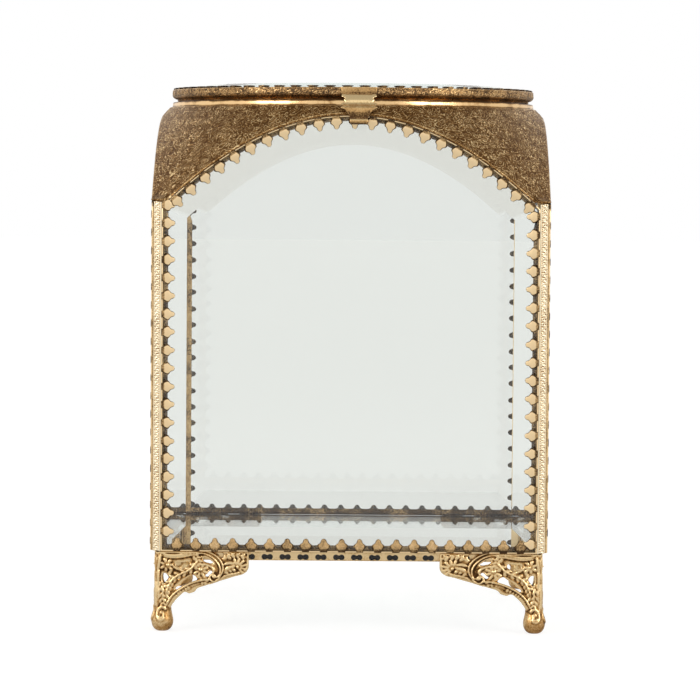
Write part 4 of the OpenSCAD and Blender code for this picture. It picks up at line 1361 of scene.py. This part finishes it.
# A tendril winds round a place on the ball: its angle from the diagonal, its height, and how far it
# swings each way. The big curl and the small one have a size, a first angle in degrees and a radius.
TENDRIL_ANGLE, TENDRIL_Z = 0.72, 4.7
TENDRIL_SWING, TENDRIL_RISE = 0.58, 2.2
TENDRILS = ((1.0, 35, 0.46), (0.45, 200, 0.34))
TENDRIL_TURN = 290
grids = []
for line in strokes:
    grids += on_wing(stroke_tube(*line))
z = np.concatenate([np.linspace(0, 1.2, 12), np.linspace(1.5, LEG_TOP, 70)])
grids.append(rope(np.stack([leg_middle(z), leg_middle(z), z], -1), leg_radius(z), LEG_SIDES))
t = np.linspace(0, 1, 44)
for hand in (-1, 1):
    for size, first, width in TENDRILS:
        turning = np.radians(first + TENDRIL_TURN * t)
        shrinking = size * (1 - 0.4 * t)
        angle = hand * (TENDRIL_ANGLE + TENDRIL_SWING * shrinking * np.cos(turning))
        height = TENDRIL_Z + TENDRIL_RISE * shrinking * np.sin(turning)
        grids.append(rope(on_leg(angle, height), width * (1 - 0.45 * t)))
print("tubes in a foot:", len(grids))

# %% [markdown]
# ## Casting
# A voxel remesh turns all the tubes and plates into one skin, as molten brass fills one mould. The
# skin is smoothed once, and then its crests are found: where a point stands out from the mean of its
# neighbours, along its normal, the gilding is rubbed bright, and where it lies back it is dark. Booleans
# could join the strokes, but with more than a hundred of them one bad crossing would spoil the lot.

# %% Casting the feet
def fused(grids, plates, voxel):
    """All tubes and plates in one mesh, turned into a single skin of small quads by a voxel remesh."""
    surfaces = [(points, [faces]) for points, faces in plates] + [closed_tube(grid) for grid in grids]
    rough = write_mesh("rough_casting", *gathered(surfaces))
    remesh = rough.modifiers.new("fuse", "REMESH")
    remesh.mode = "VOXEL"
    remesh.voxel_size = voxel * MM
    skin = rough.evaluated_get(bpy.context.evaluated_depsgraph_get()).to_mesh()
    co = np.empty(len(skin.vertices) * 3)
    skin.vertices.foreach_get("co", co)
    corners = np.empty(len(skin.loops), np.int64)
    skin.loops.foreach_get("vertex_index", corners)
    starts = np.empty(len(skin.polygons), np.int64)
    skin.polygons.foreach_get("loop_start", starts)
    sizes = np.diff(np.append(starts, len(corners)))
    quad_faces = corners[starts[sizes == 4][:, None] + np.arange(4)]
    tri_faces = corners[starts[sizes == 3][:, None] + np.arange(3)]
    bpy.data.objects.remove(rough)
    return co.reshape(-1, 3) / MM, [f for f in (quad_faces, tri_faces) if len(f)]


def neighbour_mean(points, faces, values):
    """For every point, the mean of a quantity over the points that its face edges reach."""
    total, count = np.zeros_like(values), np.zeros(len(points))
    for f in faces:
        for k in range(f.shape[1]):
            a, b = f[:, k], f[:, (k + 1) % f.shape[1]]
            for p, q in ((a, b), (b, a)):
                np.add.at(total, p, values[q])
                np.add.at(count, p, 1)
    return total / np.maximum(count, 1).reshape(-1, *([1] * (values.ndim - 1)))


def normals(points, faces):
    """Unit normals at the points, from the faces round them."""
    total = np.zeros_like(points)
    for f in faces:
        across = np.cross(points[f[:, 2]] - points[f[:, 0]], points[f[:, -1]] - points[f[:, 1]])
        for k in range(f.shape[1]):
            np.add.at(total, f[:, k], across)
    return total / np.maximum(np.linalg.norm(total, axis=1), 1e-12)[:, None]


# No two castings are alike: how much further the front wing of one foot reaches along the band.
WING_ROOT = 46.0
WING_OUT = {"front_right": 0.13}
VOXEL = 0.21
SMOOTHING = 0.5
# The worn mark is CREST_MIDDLE on a flat place, and rises by 1 for a crest of CREST_FULL millimetres.
CREST_MIDDLE, CREST_FULL = 0.56, 0.017
# The ball and leg are darker than the wings: pairs of height and brightness. The inner side of the foot
# is dark, from INNER_FROM on towards the middle of the casket, and above the ball.
HEIGHT_SHINE = ((0.5, 0.42), (2.5, 0.66), (6, 0.72), (8, 1.0))
INNER_DARK = 0.8
INNER_FROM = (-52.5, -52.1)
INNER_ABOVE = (6, 9)
grounds = []
for flat, faces in plates:
    grounds += [(wing, faces) for wing in on_wing(flat)]
casting, casting_faces = fused(grids, grounds, VOXEL)
casting += SMOOTHING * (neighbour_mean(casting, casting_faces, casting) - casting)
sunken = neighbour_mean(casting, casting_faces, casting) - casting
crest = -np.einsum("ij,ij->i", sunken, normals(casting, casting_faces))
for _ in range(3):
    crest = 0.4 * crest + 0.6 * neighbour_mean(casting, casting_faces, crest)
casting_z = casting[:, 2]
casting_worn = np.clip(CREST_MIDDLE + crest / CREST_FULL, 0, 1) * np.interp(casting_z, *zip(*HEIGHT_SHINE))
outermost = casting[:, :2].min(1)
inner_side = np.interp(outermost, INNER_FROM, [0, 1]) * np.interp(casting_z, INNER_ABOVE, [0, 1])
casting_worn *= 1 - INNER_DARK * inner_side
for corner, (mirror_x, mirror_y) in CORNERS.items():
    wing_out = np.clip(casting[:, :1] + WING_ROOT, 0, None) * (1, 0, 0)
    points = (casting + WING_OUT.get(corner, 0) * wing_out) * (mirror_x, mirror_y, 1)
    foot = closed_piece(f"cast_foot_{corner}", points, casting_faces, {"worn": casting_worn})
    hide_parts(f"foot_{corner}")
    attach(foot, "body")
print("a foot:", len(casting), "points, box", casting.min(0).round(2), casting.max(0).round(2))

# %% [markdown]
# ## The pierced band
# The band below the panes is a flat strip with a row of holes like dog bones. One tile of it is a
# grid between two closed lines, both given by a distance for every direction from the hole's
# middle: the hole's edge inside and the tile's rectangle outside. Twenty tiles and two plain ends
# make one side's strip. Points that lie on each other are joined, and then a wall is
# raised on every edge that belongs to one face only, which closes the strip and all its holes at once.
# Boolean holes in a plain strip are the usual way, and leave long thin faces between the holes.

# %% Pierced band
band_low, band_high = node_box("base_band")
# The strip starts BAND_LIFT above the solid's foot, and the middles of its holes are HOLE_UP higher. A
# hole is two lobes of radius LOBE_R, LOBE_AT to each side of its middle, and a neck 2 x NECK high.
BAND_T = 0.5
BAND_LIFT, HOLE_UP = 0.35, 0.95
BAND_FOOT = band_low[2] + BAND_LIFT
BAND_TOP = band_high[2]
HOLE_Z = BAND_FOOT + HOLE_UP
HOLES = 20
HOLE_PITCH = 4.945
FIRST_HOLE = -47.2
LOBE_AT, LOBE_R, NECK = 0.78, 0.8, 0.54
# Painted light and shade up the band, from its foot to its top: painted shade at its foot and along its
# top edge. Pairs of height and brightness.
BAND_PAINTED_LIGHT = ((BAND_FOOT, 0.35), (BAND_FOOT + 0.3, 0.75), (BAND_TOP - 0.8, 0.9), (BAND_TOP, 0.6))


def box_reach(angle, half_width, above, below):
    """Distance from the middle of a tile to its rectangle, in the direction of an angle."""
    c, s = np.cos(angle), np.sin(angle)
    up = np.where(s > 0, above, below) / np.maximum(np.abs(s), 1e-9)
    return np.minimum(half_width / np.maximum(np.abs(c), 1e-9), up)


def hole_reach(angle):
    """Distance to the edge of a dog-bone hole, two round lobes joined by a neck: the greater of the
    distances to the neck's edge and to the far side of the lobe."""
    c, s = np.abs(np.cos(angle)), np.abs(np.sin(angle))
    neck = np.minimum(NECK / np.maximum(s, 1e-9), LOBE_AT / np.maximum(c, 1e-9))
    under_root = LOBE_R**2 - (LOBE_AT * s) ** 2
    lobe = np.where(under_root > 0, LOBE_AT * c + np.sqrt(np.maximum(under_root, 0)), 0)
    return np.maximum(neck, lobe)


def joined(points, faces, digits=4):
    """Joins points that lie on each other."""
    kept_points, place = np.unique(points.round(digits), axis=0, return_inverse=True)
    return kept_points, place.ravel()[faces]


def thickened(points, faces, front, back):
    """A flat sheet of quads (x, z) as a closed plate between two depths y, with walls at free edges."""
    edges = np.stack([faces, np.roll(faces, -1, axis=1)], -1).reshape(-1, 2)
    key = edges[:, 0] * len(points) + edges[:, 1]
    free = edges[~np.isin(key, edges[:, 1] * len(points) + edges[:, 0])]
    shift = len(points)
    skins = [np.stack([points[:, 0], np.full(shift, y), points[:, 1]], -1) for y in (front, back)]
    wall = np.stack([free[:, 1], free[:, 0], free[:, 0] + shift, free[:, 1] + shift], -1)
    return np.concatenate(skins), [np.concatenate([faces, faces[:, ::-1] + shift, wall])]


above, below = BAND_TOP - HOLE_Z, HOLE_Z - BAND_FOOT
tile_corners = [math.atan2(v, u * HOLE_PITCH / 2) for u in (-1, 1) for v in (above, -below)]
tile_angle = np.unique(np.concatenate([np.linspace(-math.pi, math.pi, 49)[1:], tile_corners]).round(9))
hole = hole_reach(tile_angle)
edge = box_reach(tile_angle, HOLE_PITCH / 2, above, below)
TILE_ROWS = np.array([0.0, 0.12, 0.3, 1.0])
reach_rows = hole + TILE_ROWS[:, None] * (edge - hole)
tile = np.stack([reach_rows * np.cos(tile_angle), reach_rows * np.sin(tile_angle)], -1)
tile_faces = quads(len(TILE_ROWS), len(tile_angle), False, True)
middles = FIRST_HOLE + HOLE_PITCH * np.arange(HOLES)
tiles = tile[None] + np.stack([middles, np.full(HOLES, HOLE_Z)], -1)[:, None, None, :]
tiles_faces = tile_faces[None] + (np.arange(HOLES) * tile[..., 0].size)[:, None, None]
side_z = np.sort(tile[-1][np.abs(tile[-1, :, 0] - HOLE_PITCH / 2) < 1e-6][:, 1]) + HOLE_Z
left_end = [-band_high[0] + BAND_T, middles[0] - HOLE_PITCH / 2]
right_end = [middles[-1] + HOLE_PITCH / 2, band_high[0]]
ends = [np.stack(np.meshgrid(x, side_z, indexing="ij"), -1).reshape(-1, 2) for x in (left_end, right_end)]
flat_points = np.concatenate([tiles.reshape(-1, 2), *ends])
count = tiles[..., 0].size
end_faces = quads(2, len(side_z), False, False)[:, ::-1]
flat_faces = np.concatenate([
    tiles_faces.reshape(-1, 4), end_faces + count, end_faces + count + 2 * len(side_z)])
flat_points, flat_faces = joined(flat_points, flat_faces)
strip, strip_quads = thickened(flat_points, flat_faces, band_low[1], band_low[1] + BAND_T)
band_light_mark = np.interp(strip[:, 2], *zip(*BAND_PAINTED_LIGHT))
band_points = np.concatenate([turned(strip, quarter) for quarter in range(4)])
band_faces = [strip_quads[0] + quarter * len(strip) for quarter in range(4)]
marks = {"worn": np.tile(band_light_mark, 4)}
pierced_band = closed_piece("pierced_band", band_points, band_faces, marks, smooth=False)
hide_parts("base_band")
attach(pierced_band, "body")
print("band from", band_low.round(2), "to", band_high.round(2), "faces", sum(len(f) for f in band_faces))

# %% [markdown]
# ## Backing of the pierced band
# The little holes of the base band look black, because a thin dark strip lies behind them: painted
# shade for the dark inside of the base. It is a square frame with a flat section, one grid of four
# corners. Black paint on the bottom pane would look the same from the front only.

# %% Band backing
BACKING_GAP = 0.25
BACKING_T = 0.3
BACKING_BELOW, BACKING_ABOVE = 0.15, 0.1
backing_out = band_high[0] - BAND_T - BACKING_GAP
backing_low, backing_high = BAND_FOOT + BACKING_BELOW, BAND_TOP - BACKING_ABOVE
section = np.array([
    (backing_out, backing_low), (backing_out, backing_high),
    (backing_out - BACKING_T, backing_high), (backing_out - BACKING_T, backing_low),
])
corner_signs = np.array([(-1, -1), (1, -1), (1, 1), (-1, 1)])
backing_points = np.concatenate([
    section[:, None, :1] * corner_signs[None], np.broadcast_to(section[:, None, 1:], (4, 4, 1))], -1)
shade_backing = closed_piece("band_shade_backing", backing_points.reshape(-1, 3), [quads(4, 4, True, True)], smooth=False)
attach(shade_backing, "body")
print("backing from", round(backing_low, 2), "to", round(backing_high, 2), "mm up")

# %% [markdown]
# ## A short hand for material nodes
# Every finish is a small graph of nodes. The helper below makes a material with one Principled
# shader and lets each finish add nodes in one line each. The same nodes could be placed by hand in the
# shader editor, but here a finish is a short recipe. Patterns read Object coordinates or a number
# that the mesh carries, so they stay on the metal when a part turns.

# %% Node helper
def linear(red, green, blue):
    """A colour that is given as it looks on screen, 0 to 255, as the renderer's linear values."""
    share = np.array([red, green, blue]) / 255
    return (*np.where(share <= 0.04045, share / 12.92, ((share + 0.055) / 1.055) ** 2.4), 1.0)


class Graph:
    """A tree of nodes, and short calls that add to it."""

    def __init__(self, tree):
        self.tree = tree

    def feed(self, socket, value):
        """Links a socket to another one, or sets its value."""
        if isinstance(value, bpy.types.NodeSocket):
            self.tree.links.new(value, socket)
        else:
            socket.default_value = value

    def node(self, kind, settings=None, **inputs):
        """A new node; i0, i1 and so on are its inputs by number, and others go by name."""
        made = self.tree.nodes.new(kind)
        for key, value in (settings or {}).items():
            setattr(made, key, value)
        for key, value in inputs.items():
            self.feed(made.inputs[int(key[1:])] if key[1:].isdigit() else made.inputs[key], value)
        return made

    def math(self, operation, *values, clamp=False):
        """A sum, a product or another operation on numbers, held between 0 and 1 if it is clamped."""
        numbers = {f"i{place}": value for place, value in enumerate(values)}
        return self.node("ShaderNodeMath", {"operation": operation, "use_clamp": clamp}, **numbers).outputs[0]

    def between(self, value, low, high, to_low=0.0, to_high=1.0):
        """The value's stretch from low to high, spread over another stretch and held at its ends."""
        settings = {"clamp": True, "interpolation_type": "SMOOTHSTEP"}
        return self.node("ShaderNodeMapRange", settings, Value=value, **{
            "From Min": low, "From Max": high, "To Min": to_low, "To Max": to_high}).outputs["Result"]

    def seen_plainly(self):
        """1 for what the camera sees, straight or through glass, and 0 for light and reflections."""
        path = self.node("ShaderNodeLightPath").outputs
        return self.math("MAXIMUM", path["Is Camera Ray"], path["Is Transmission Ray"])


class Finish(Graph):
    """A material with one Principled shader."""

    def __init__(self, name):
        self.material = bpy.data.materials.new(name)
        self.material.use_nodes = True
        super().__init__(self.material.node_tree)
        self.shader = self.tree.nodes["Principled BSDF"]
        self.output = self.tree.nodes["Material Output"]
        self.place = self.tree.nodes.new("ShaderNodeTexCoord").outputs["Object"]

    def noise(self, scale, detail=3.0, distortion=0.0):
        """Soft noise from 0 to 1; scale is in features per metre."""
        sizes = {"Scale": scale, "Detail": detail, "Distortion": distortion}
        return self.node("ShaderNodeTexNoise", Vector=self.place, **sizes).outputs["Fac"]

    def mark(self, name):
        """A number that the mesh carries on its points."""
        return self.node("ShaderNodeAttribute", {"attribute_name": name}).outputs["Fac"]

    def mix(self, share, a, b):
        """One colour changed into another by a share from 0 to 1."""
        return self.node("ShaderNodeMix", {"data_type": "RGBA"}, i0=share, i6=a, i7=b).outputs[2]

    def bump(self, height, distance, strength):
        """Makes the surface look uneven by a height from 0 to 1, times a distance in metres."""
        made = self.node("ShaderNodeBump", Height=height, Distance=distance, Strength=strength)
        self.feed(self.shader.inputs["Normal"], made.outputs["Normal"])

    def set(self, **inputs):
        """Sets or links the shader's inputs; an underscore stands for a space."""
        for key, value in inputs.items():
            self.feed(self.shader.inputs[key.replace("_", " ")], value)


print("white is", linear(255, 255, 255), "and middle grey", np.round(linear(128, 128, 128), 3))

# %% [markdown]
# ## Antique gilt brass
# Ormolu is brass with a thin skin of gold. On an old piece the crests are rubbed pale and bright
# and the hollows keep brown tarnish. The finish mixes three colours by the mark that each piece
# carries, its height and wear and on some pieces painted light and shade, and by two sizes of noise,
# and the tarnish is also rougher than the bright metal. One even colour would look like new brass:
# the brown in the hollows is what makes it old.

# %% Brass finishes
def brass(name, bright, body, tarnish, gloss, worn_from, worn_to, patchy=0.35, grain=0.02, plain=None,
          engraved=None):
    """A gilt brass: tarnish in the hollows, body colour on the flanks, bright on the crests. The mark that it
    reads is wear, and on some pieces also painted light and shade.
    Engraved adds fine curled lines: features per metre, lines to a feature, and their share. A line is
    where the sine of (noise x lines x a full turn) is high. The plain mark takes the lines away and lightens
    the metal."""
    finish = Finish(name)
    bright, body, tarnish = (linear(*colour) for colour in (bright, body, tarnish))
    patches = finish.noise(210.0, 4.0, 0.6)
    fine = finish.noise(2600.0, 3.0)
    worn = finish.mark("worn") if plain is None else plain(finish)
    speckle = 0.16 if engraved is None else 0.05
    drift = finish.between(patches, 0.3, 0.7, -patchy, patchy)
    speck = finish.between(fine, 0.25, 0.75, -speckle, speckle)
    shifted = finish.math("ADD", drift, speck)
    relief = finish.noise(5200.0, 4.0)
    if engraved is not None:
        scale, lines, share = engraved
        wave = finish.math("MULTIPLY", finish.noise(scale, 0.0), lines * TAU)
        line = finish.between(finish.math("SINE", wave), 0.3, 1.0)
        smooth = finish.mark("plain")
        worn = finish.between(worn, 0.0, 1.0, 0.15, 0.6)
        worn = finish.math("ADD", worn, finish.between(smooth, 0.2, 0.7, 0.0, 0.5), clamp=True)
        relief = finish.math("MULTIPLY", line, finish.between(smooth, 0.2, 0.7, 1.0, 0.0), clamp=True)
        curls = finish.math("MULTIPLY_ADD", relief, share, -0.3 * share)
        shifted = finish.math("ADD", shifted, curls)
    level = finish.math("ADD", worn, shifted, clamp=True)
    low = finish.between(level, 0.0, worn_from + 0.25)
    high = finish.between(level, worn_from + 0.2, worn_to + 0.15)
    colour = finish.mix(high, finish.mix(low, tarnish, body), bright)
    finish.set(Base_Color=colour, Metallic=1.0)
    finish.set(Roughness=finish.between(level, 0.1, 1.0, gloss[1], gloss[0]))
    finish.bump(relief, grain * MM, 0.6)
    return finish


def even(value):
    """A stand-in for the carried height on pieces that have no pattern."""
    return lambda finish: finish.between(finish.noise(480.0, 3.0), 0.2, 0.8, value - 0.2, value + 0.15)


# Colours as they look: bright, body and tarnish. Then the roughness of bright and tarnished metal, and
# from which level of wear and painted light the body colour and the bright colour show.
GALLERY = brass(
    "gilt_gallery_strip", (252, 223, 176), (200, 166, 117), (74, 56, 39), (0.32, 0.5), 0.1, 0.6, 0.12)
POST = brass(
    "gilt_rolled_post", (255, 240, 208), (244, 216, 172), (140, 100, 62), (0.28, 0.5), 0.1, 0.6, 0.15)
CAST = brass(
    "gilt_cast_brass", (246, 216, 164), (184, 140, 84), (74, 50, 27), (0.26, 0.5), 0.15, 0.75, 0.2)
BRONZE = brass(
    "bronzed_shoulder", (255, 228, 174), (172, 131, 80), (100, 69, 36), (0.3, 0.48), 0.3, 0.9, 0.14, 0.05,
    engraved=(580.0, 6.2, 0.66))
RING = brass(
    "lid_ring_brass", (244, 208, 152), (178, 138, 90), (90, 70, 50), (0.26, 0.46), 0.25, 0.9, 0.2, 0.04,
    engraved=(1100.0, 3.6, 0.5))
PLAIN = brass(
    "plain_gilt_brass", (234, 198, 146), (176, 136, 88), (100, 72, 44), (0.2, 0.38), 0.2, 0.75, 0.35, 0.01)
CLASP = brass(
    "clasp_brass", (255, 226, 172), (196, 156, 102), (92, 66, 42), (0.18, 0.42), 0.1, 0.8, 0.12)
BAND = brass(
    "pierced_band_brass", (236, 208, 160), (204, 168, 114), (110, 80, 46), (0.3, 0.5), 0.2, 0.7, 0.2)
# A dark finish for the strip behind the band's holes: painted shade.
SHADE_BACKING = brass(
    "painted_shade_backing", (70, 56, 42), (44, 34, 26), (24, 18, 14), (0.5, 0.7), 0.4, 0.9, 0.2, plain=even(0.4))
HINGE = brass(
    "hinge_brass", (222, 182, 122), (178, 134, 78), (96, 64, 34), (0.28, 0.5), 0.2, 0.8, 0.3, plain=even(0.6))
print("brass finishes:", len(bpy.data.materials))

# %% [markdown]
# ## Old plate glass
# Plate glass has a faint grey-green tint. It is Principled glass, and shadow rays pass through it with
# a plain tint, because light that is bent through several panes would take very long to compute.
# A very slight waviness in the bump keeps the reflections from looking like plastic.

# %% Glass finishes
def plate_glass(name, tint, shade, bevel_shade_tint=None):
    """Clear glass with its own tint, the tint of its shadow, and a darker tint on a marked bevel, which is
    painted shade.
    """
    finish = Finish(name)
    colour = tint if bevel_shade_tint is None else finish.mix(finish.mark("slope"), tint, bevel_shade_tint)
    finish.set(Base_Color=colour, Transmission_Weight=1.0, Roughness=0.0, IOR=1.5)
    finish.bump(finish.noise(34.0, 2.0), 0.03 * MM, 0.15)
    passing = finish.node("ShaderNodeBsdfTransparent", Color=shade)
    shadow = finish.node("ShaderNodeLightPath").outputs["Is Shadow Ray"]
    mixed = finish.node("ShaderNodeMixShader", i0=shadow, i1=finish.shader.outputs[0], i2=passing.outputs[0])
    finish.feed(finish.output.inputs["Surface"], mixed.outputs[0])
    return finish


# The panes' third colour is the painted shade on their bevels.
PANE = plate_glass(
    "bevelled_plate_glass", (0.872, 0.888, 0.87, 1), (0.90, 0.92, 0.91, 1), (0.70, 0.69, 0.645, 1))
DISC = plate_glass("lid_plate_glass", (0.80, 0.86, 0.85, 1), (0.90, 0.92, 0.91, 1))
FLOOR = plate_glass("bottom_plate_glass", (0.84, 0.88, 0.86, 1), (0.88, 0.90, 0.89, 1))


def wear(piece, finish):
    """Gives a piece one finish, in all its material slots."""
    piece.data.materials.clear()
    piece.data.materials.append(finish.material)


made = bpy.data.objects
for side in SIDES:
    wear(made[f"{side}_pane"], PANE)
    wear(made[f"{side}_pronged_strip"], GALLERY)
for corner in CORNERS:
    wear(made[f"rolled_post_{corner}"], POST)
    wear(made[f"cast_foot_{corner}"], CAST)
for name, finish in {
    "lid_disc": DISC, "embossed_shoulder": BRONZE, "spun_collar": PLAIN, "rolled_lid_ring": RING,
    "lid_prong_row": GALLERY, "leaf_clasp": CLASP, "pierced_band": BAND, "band_shade_backing": SHADE_BACKING,
}.items():
    wear(made[name], finish)
for node, finish in {
    "bottom_glass": FLOOR, "lid_rim": PLAIN, "hinge_leaf_body": HINGE,
    "hinge_leaf_lid": HINGE, "hinge_pin": HINGE,
}.items():
    wear(frame["nodes"][node], finish)
print("materials:", len(bpy.data.materials))

# %% [markdown]
# ## Light
# The casket stands in a light tent: white at its sides, with the studio dark overhead.
# Polished metal is seen only by what it mirrors, so the world is bright at the level of the table and
# dims towards the camera and overhead, and that gives the brass its contrast. The camera itself, and
# rays that pass through glass, see plain white. Two soft boxes in front add the bright lines. A picture
# of a real room could light it too, but its windows would show in the collar.

# %% World
FRONT_LEVEL = 0.9
TOP_LEVEL = 0.45
LEFT_LEVEL = 1.35
RIGHT_LEVEL = 1.2
TENT_LEVEL = 0.8
TENT_COLOUR = (1.0, 0.985, 0.96, 1)
WHITE = (1, 1, 1, 1)


def tent_world():
    """The light tent: strength = front share x top share x side share x the tent's level."""
    world = bpy.data.worlds.new("light_tent")
    bpy.context.scene.world = world
    world.use_nodes = True
    graph = Graph(world.node_tree)
    graph.tree.nodes.clear()
    way = graph.node("ShaderNodeTexCoord").outputs["Generated"]
    x, y, z = graph.node("ShaderNodeSeparateXYZ", i0=way).outputs
    towards_camera = graph.between(y, -1.0, -0.5, FRONT_LEVEL, 1.0)
    above = graph.between(z, 0.4, 0.95, 1.0, TOP_LEVEL)
    across = graph.between(x, -0.8, 0.8, LEFT_LEVEL, RIGHT_LEVEL)
    tent = graph.math("MULTIPLY", graph.math("MULTIPLY", towards_camera, above), across)
    strength = graph.math("MULTIPLY", tent, TENT_LEVEL)
    around = graph.node("ShaderNodeBackground", Color=TENT_COLOUR, Strength=strength).outputs[0]
    plain = graph.node("ShaderNodeBackground", Color=WHITE, Strength=1.0).outputs[0]
    mixed = graph.node("ShaderNodeMixShader", i0=graph.seen_plainly(), i1=around, i2=plain)
    graph.node("ShaderNodeOutputWorld", Surface=mixed.outputs[0])


tent_world()


def soft_box(name, place, aim, size, power):
    """A square area lamp in metres that points at a place."""
    data = bpy.data.lights.new(name, "AREA")
    data.size = size
    data.energy = power
    lamp = bpy.data.objects.new(name, data)
    bpy.context.scene.collection.objects.link(lamp)
    lamp.location = place
    lamp.rotation_mode = "QUATERNION"
    lamp.rotation_quaternion = (Vector(aim) - Vector(place)).to_track_quat("-Z", "Y")


BOX_SIZE = 0.35
BOX_POWER = 1.6
middle = (0, 0, 0.08)
soft_box("left_box", (-0.6, -0.5, 0.40), middle, BOX_SIZE, BOX_POWER)
soft_box("right_box", (0.6, -0.5, 0.35), middle, BOX_SIZE, BOX_POWER)
print("soft boxes:", len(bpy.data.lights))

# %% [markdown]
# ## Floor
# A wide white sheet carries the casket. It keeps the soft contact shadow under the feet. Far from the
# casket it is as bright as the background, so no horizon shows. A sheet that only catches shadows
# would do as well, but it would not be mirrored in the brass.

# %% Floor
FLOOR_SEEN = 0.765
FLOOR_GLOW = 0.36
FLOOR_GREY = 0.3
FLOOR_HALF = 6.0


def white_floor():
    """The sheet, in metres: grey by the light that falls on it, and a glow that brings it up to white."""
    corners = np.array([(-1, -1, 0), (1, -1, 0), (1, 1, 0), (-1, 1, 0)]) * FLOOR_HALF / MM
    floor = write_mesh("white_sheet", corners, [np.array([[0, 1, 2, 3]])], smooth=False)
    finish = Finish("white_sheet")
    finish.set(Base_Color=(FLOOR_GREY, FLOOR_GREY, FLOOR_GREY, 1), Roughness=0.9)
    glow = finish.between(finish.seen_plainly(), 0.0, 1.0, FLOOR_GLOW, FLOOR_SEEN)
    finish.set(Emission_Color=WHITE, Emission_Strength=glow)
    wear(floor, finish)


white_floor()
print("floor, metres across:", 2 * FLOOR_HALF)
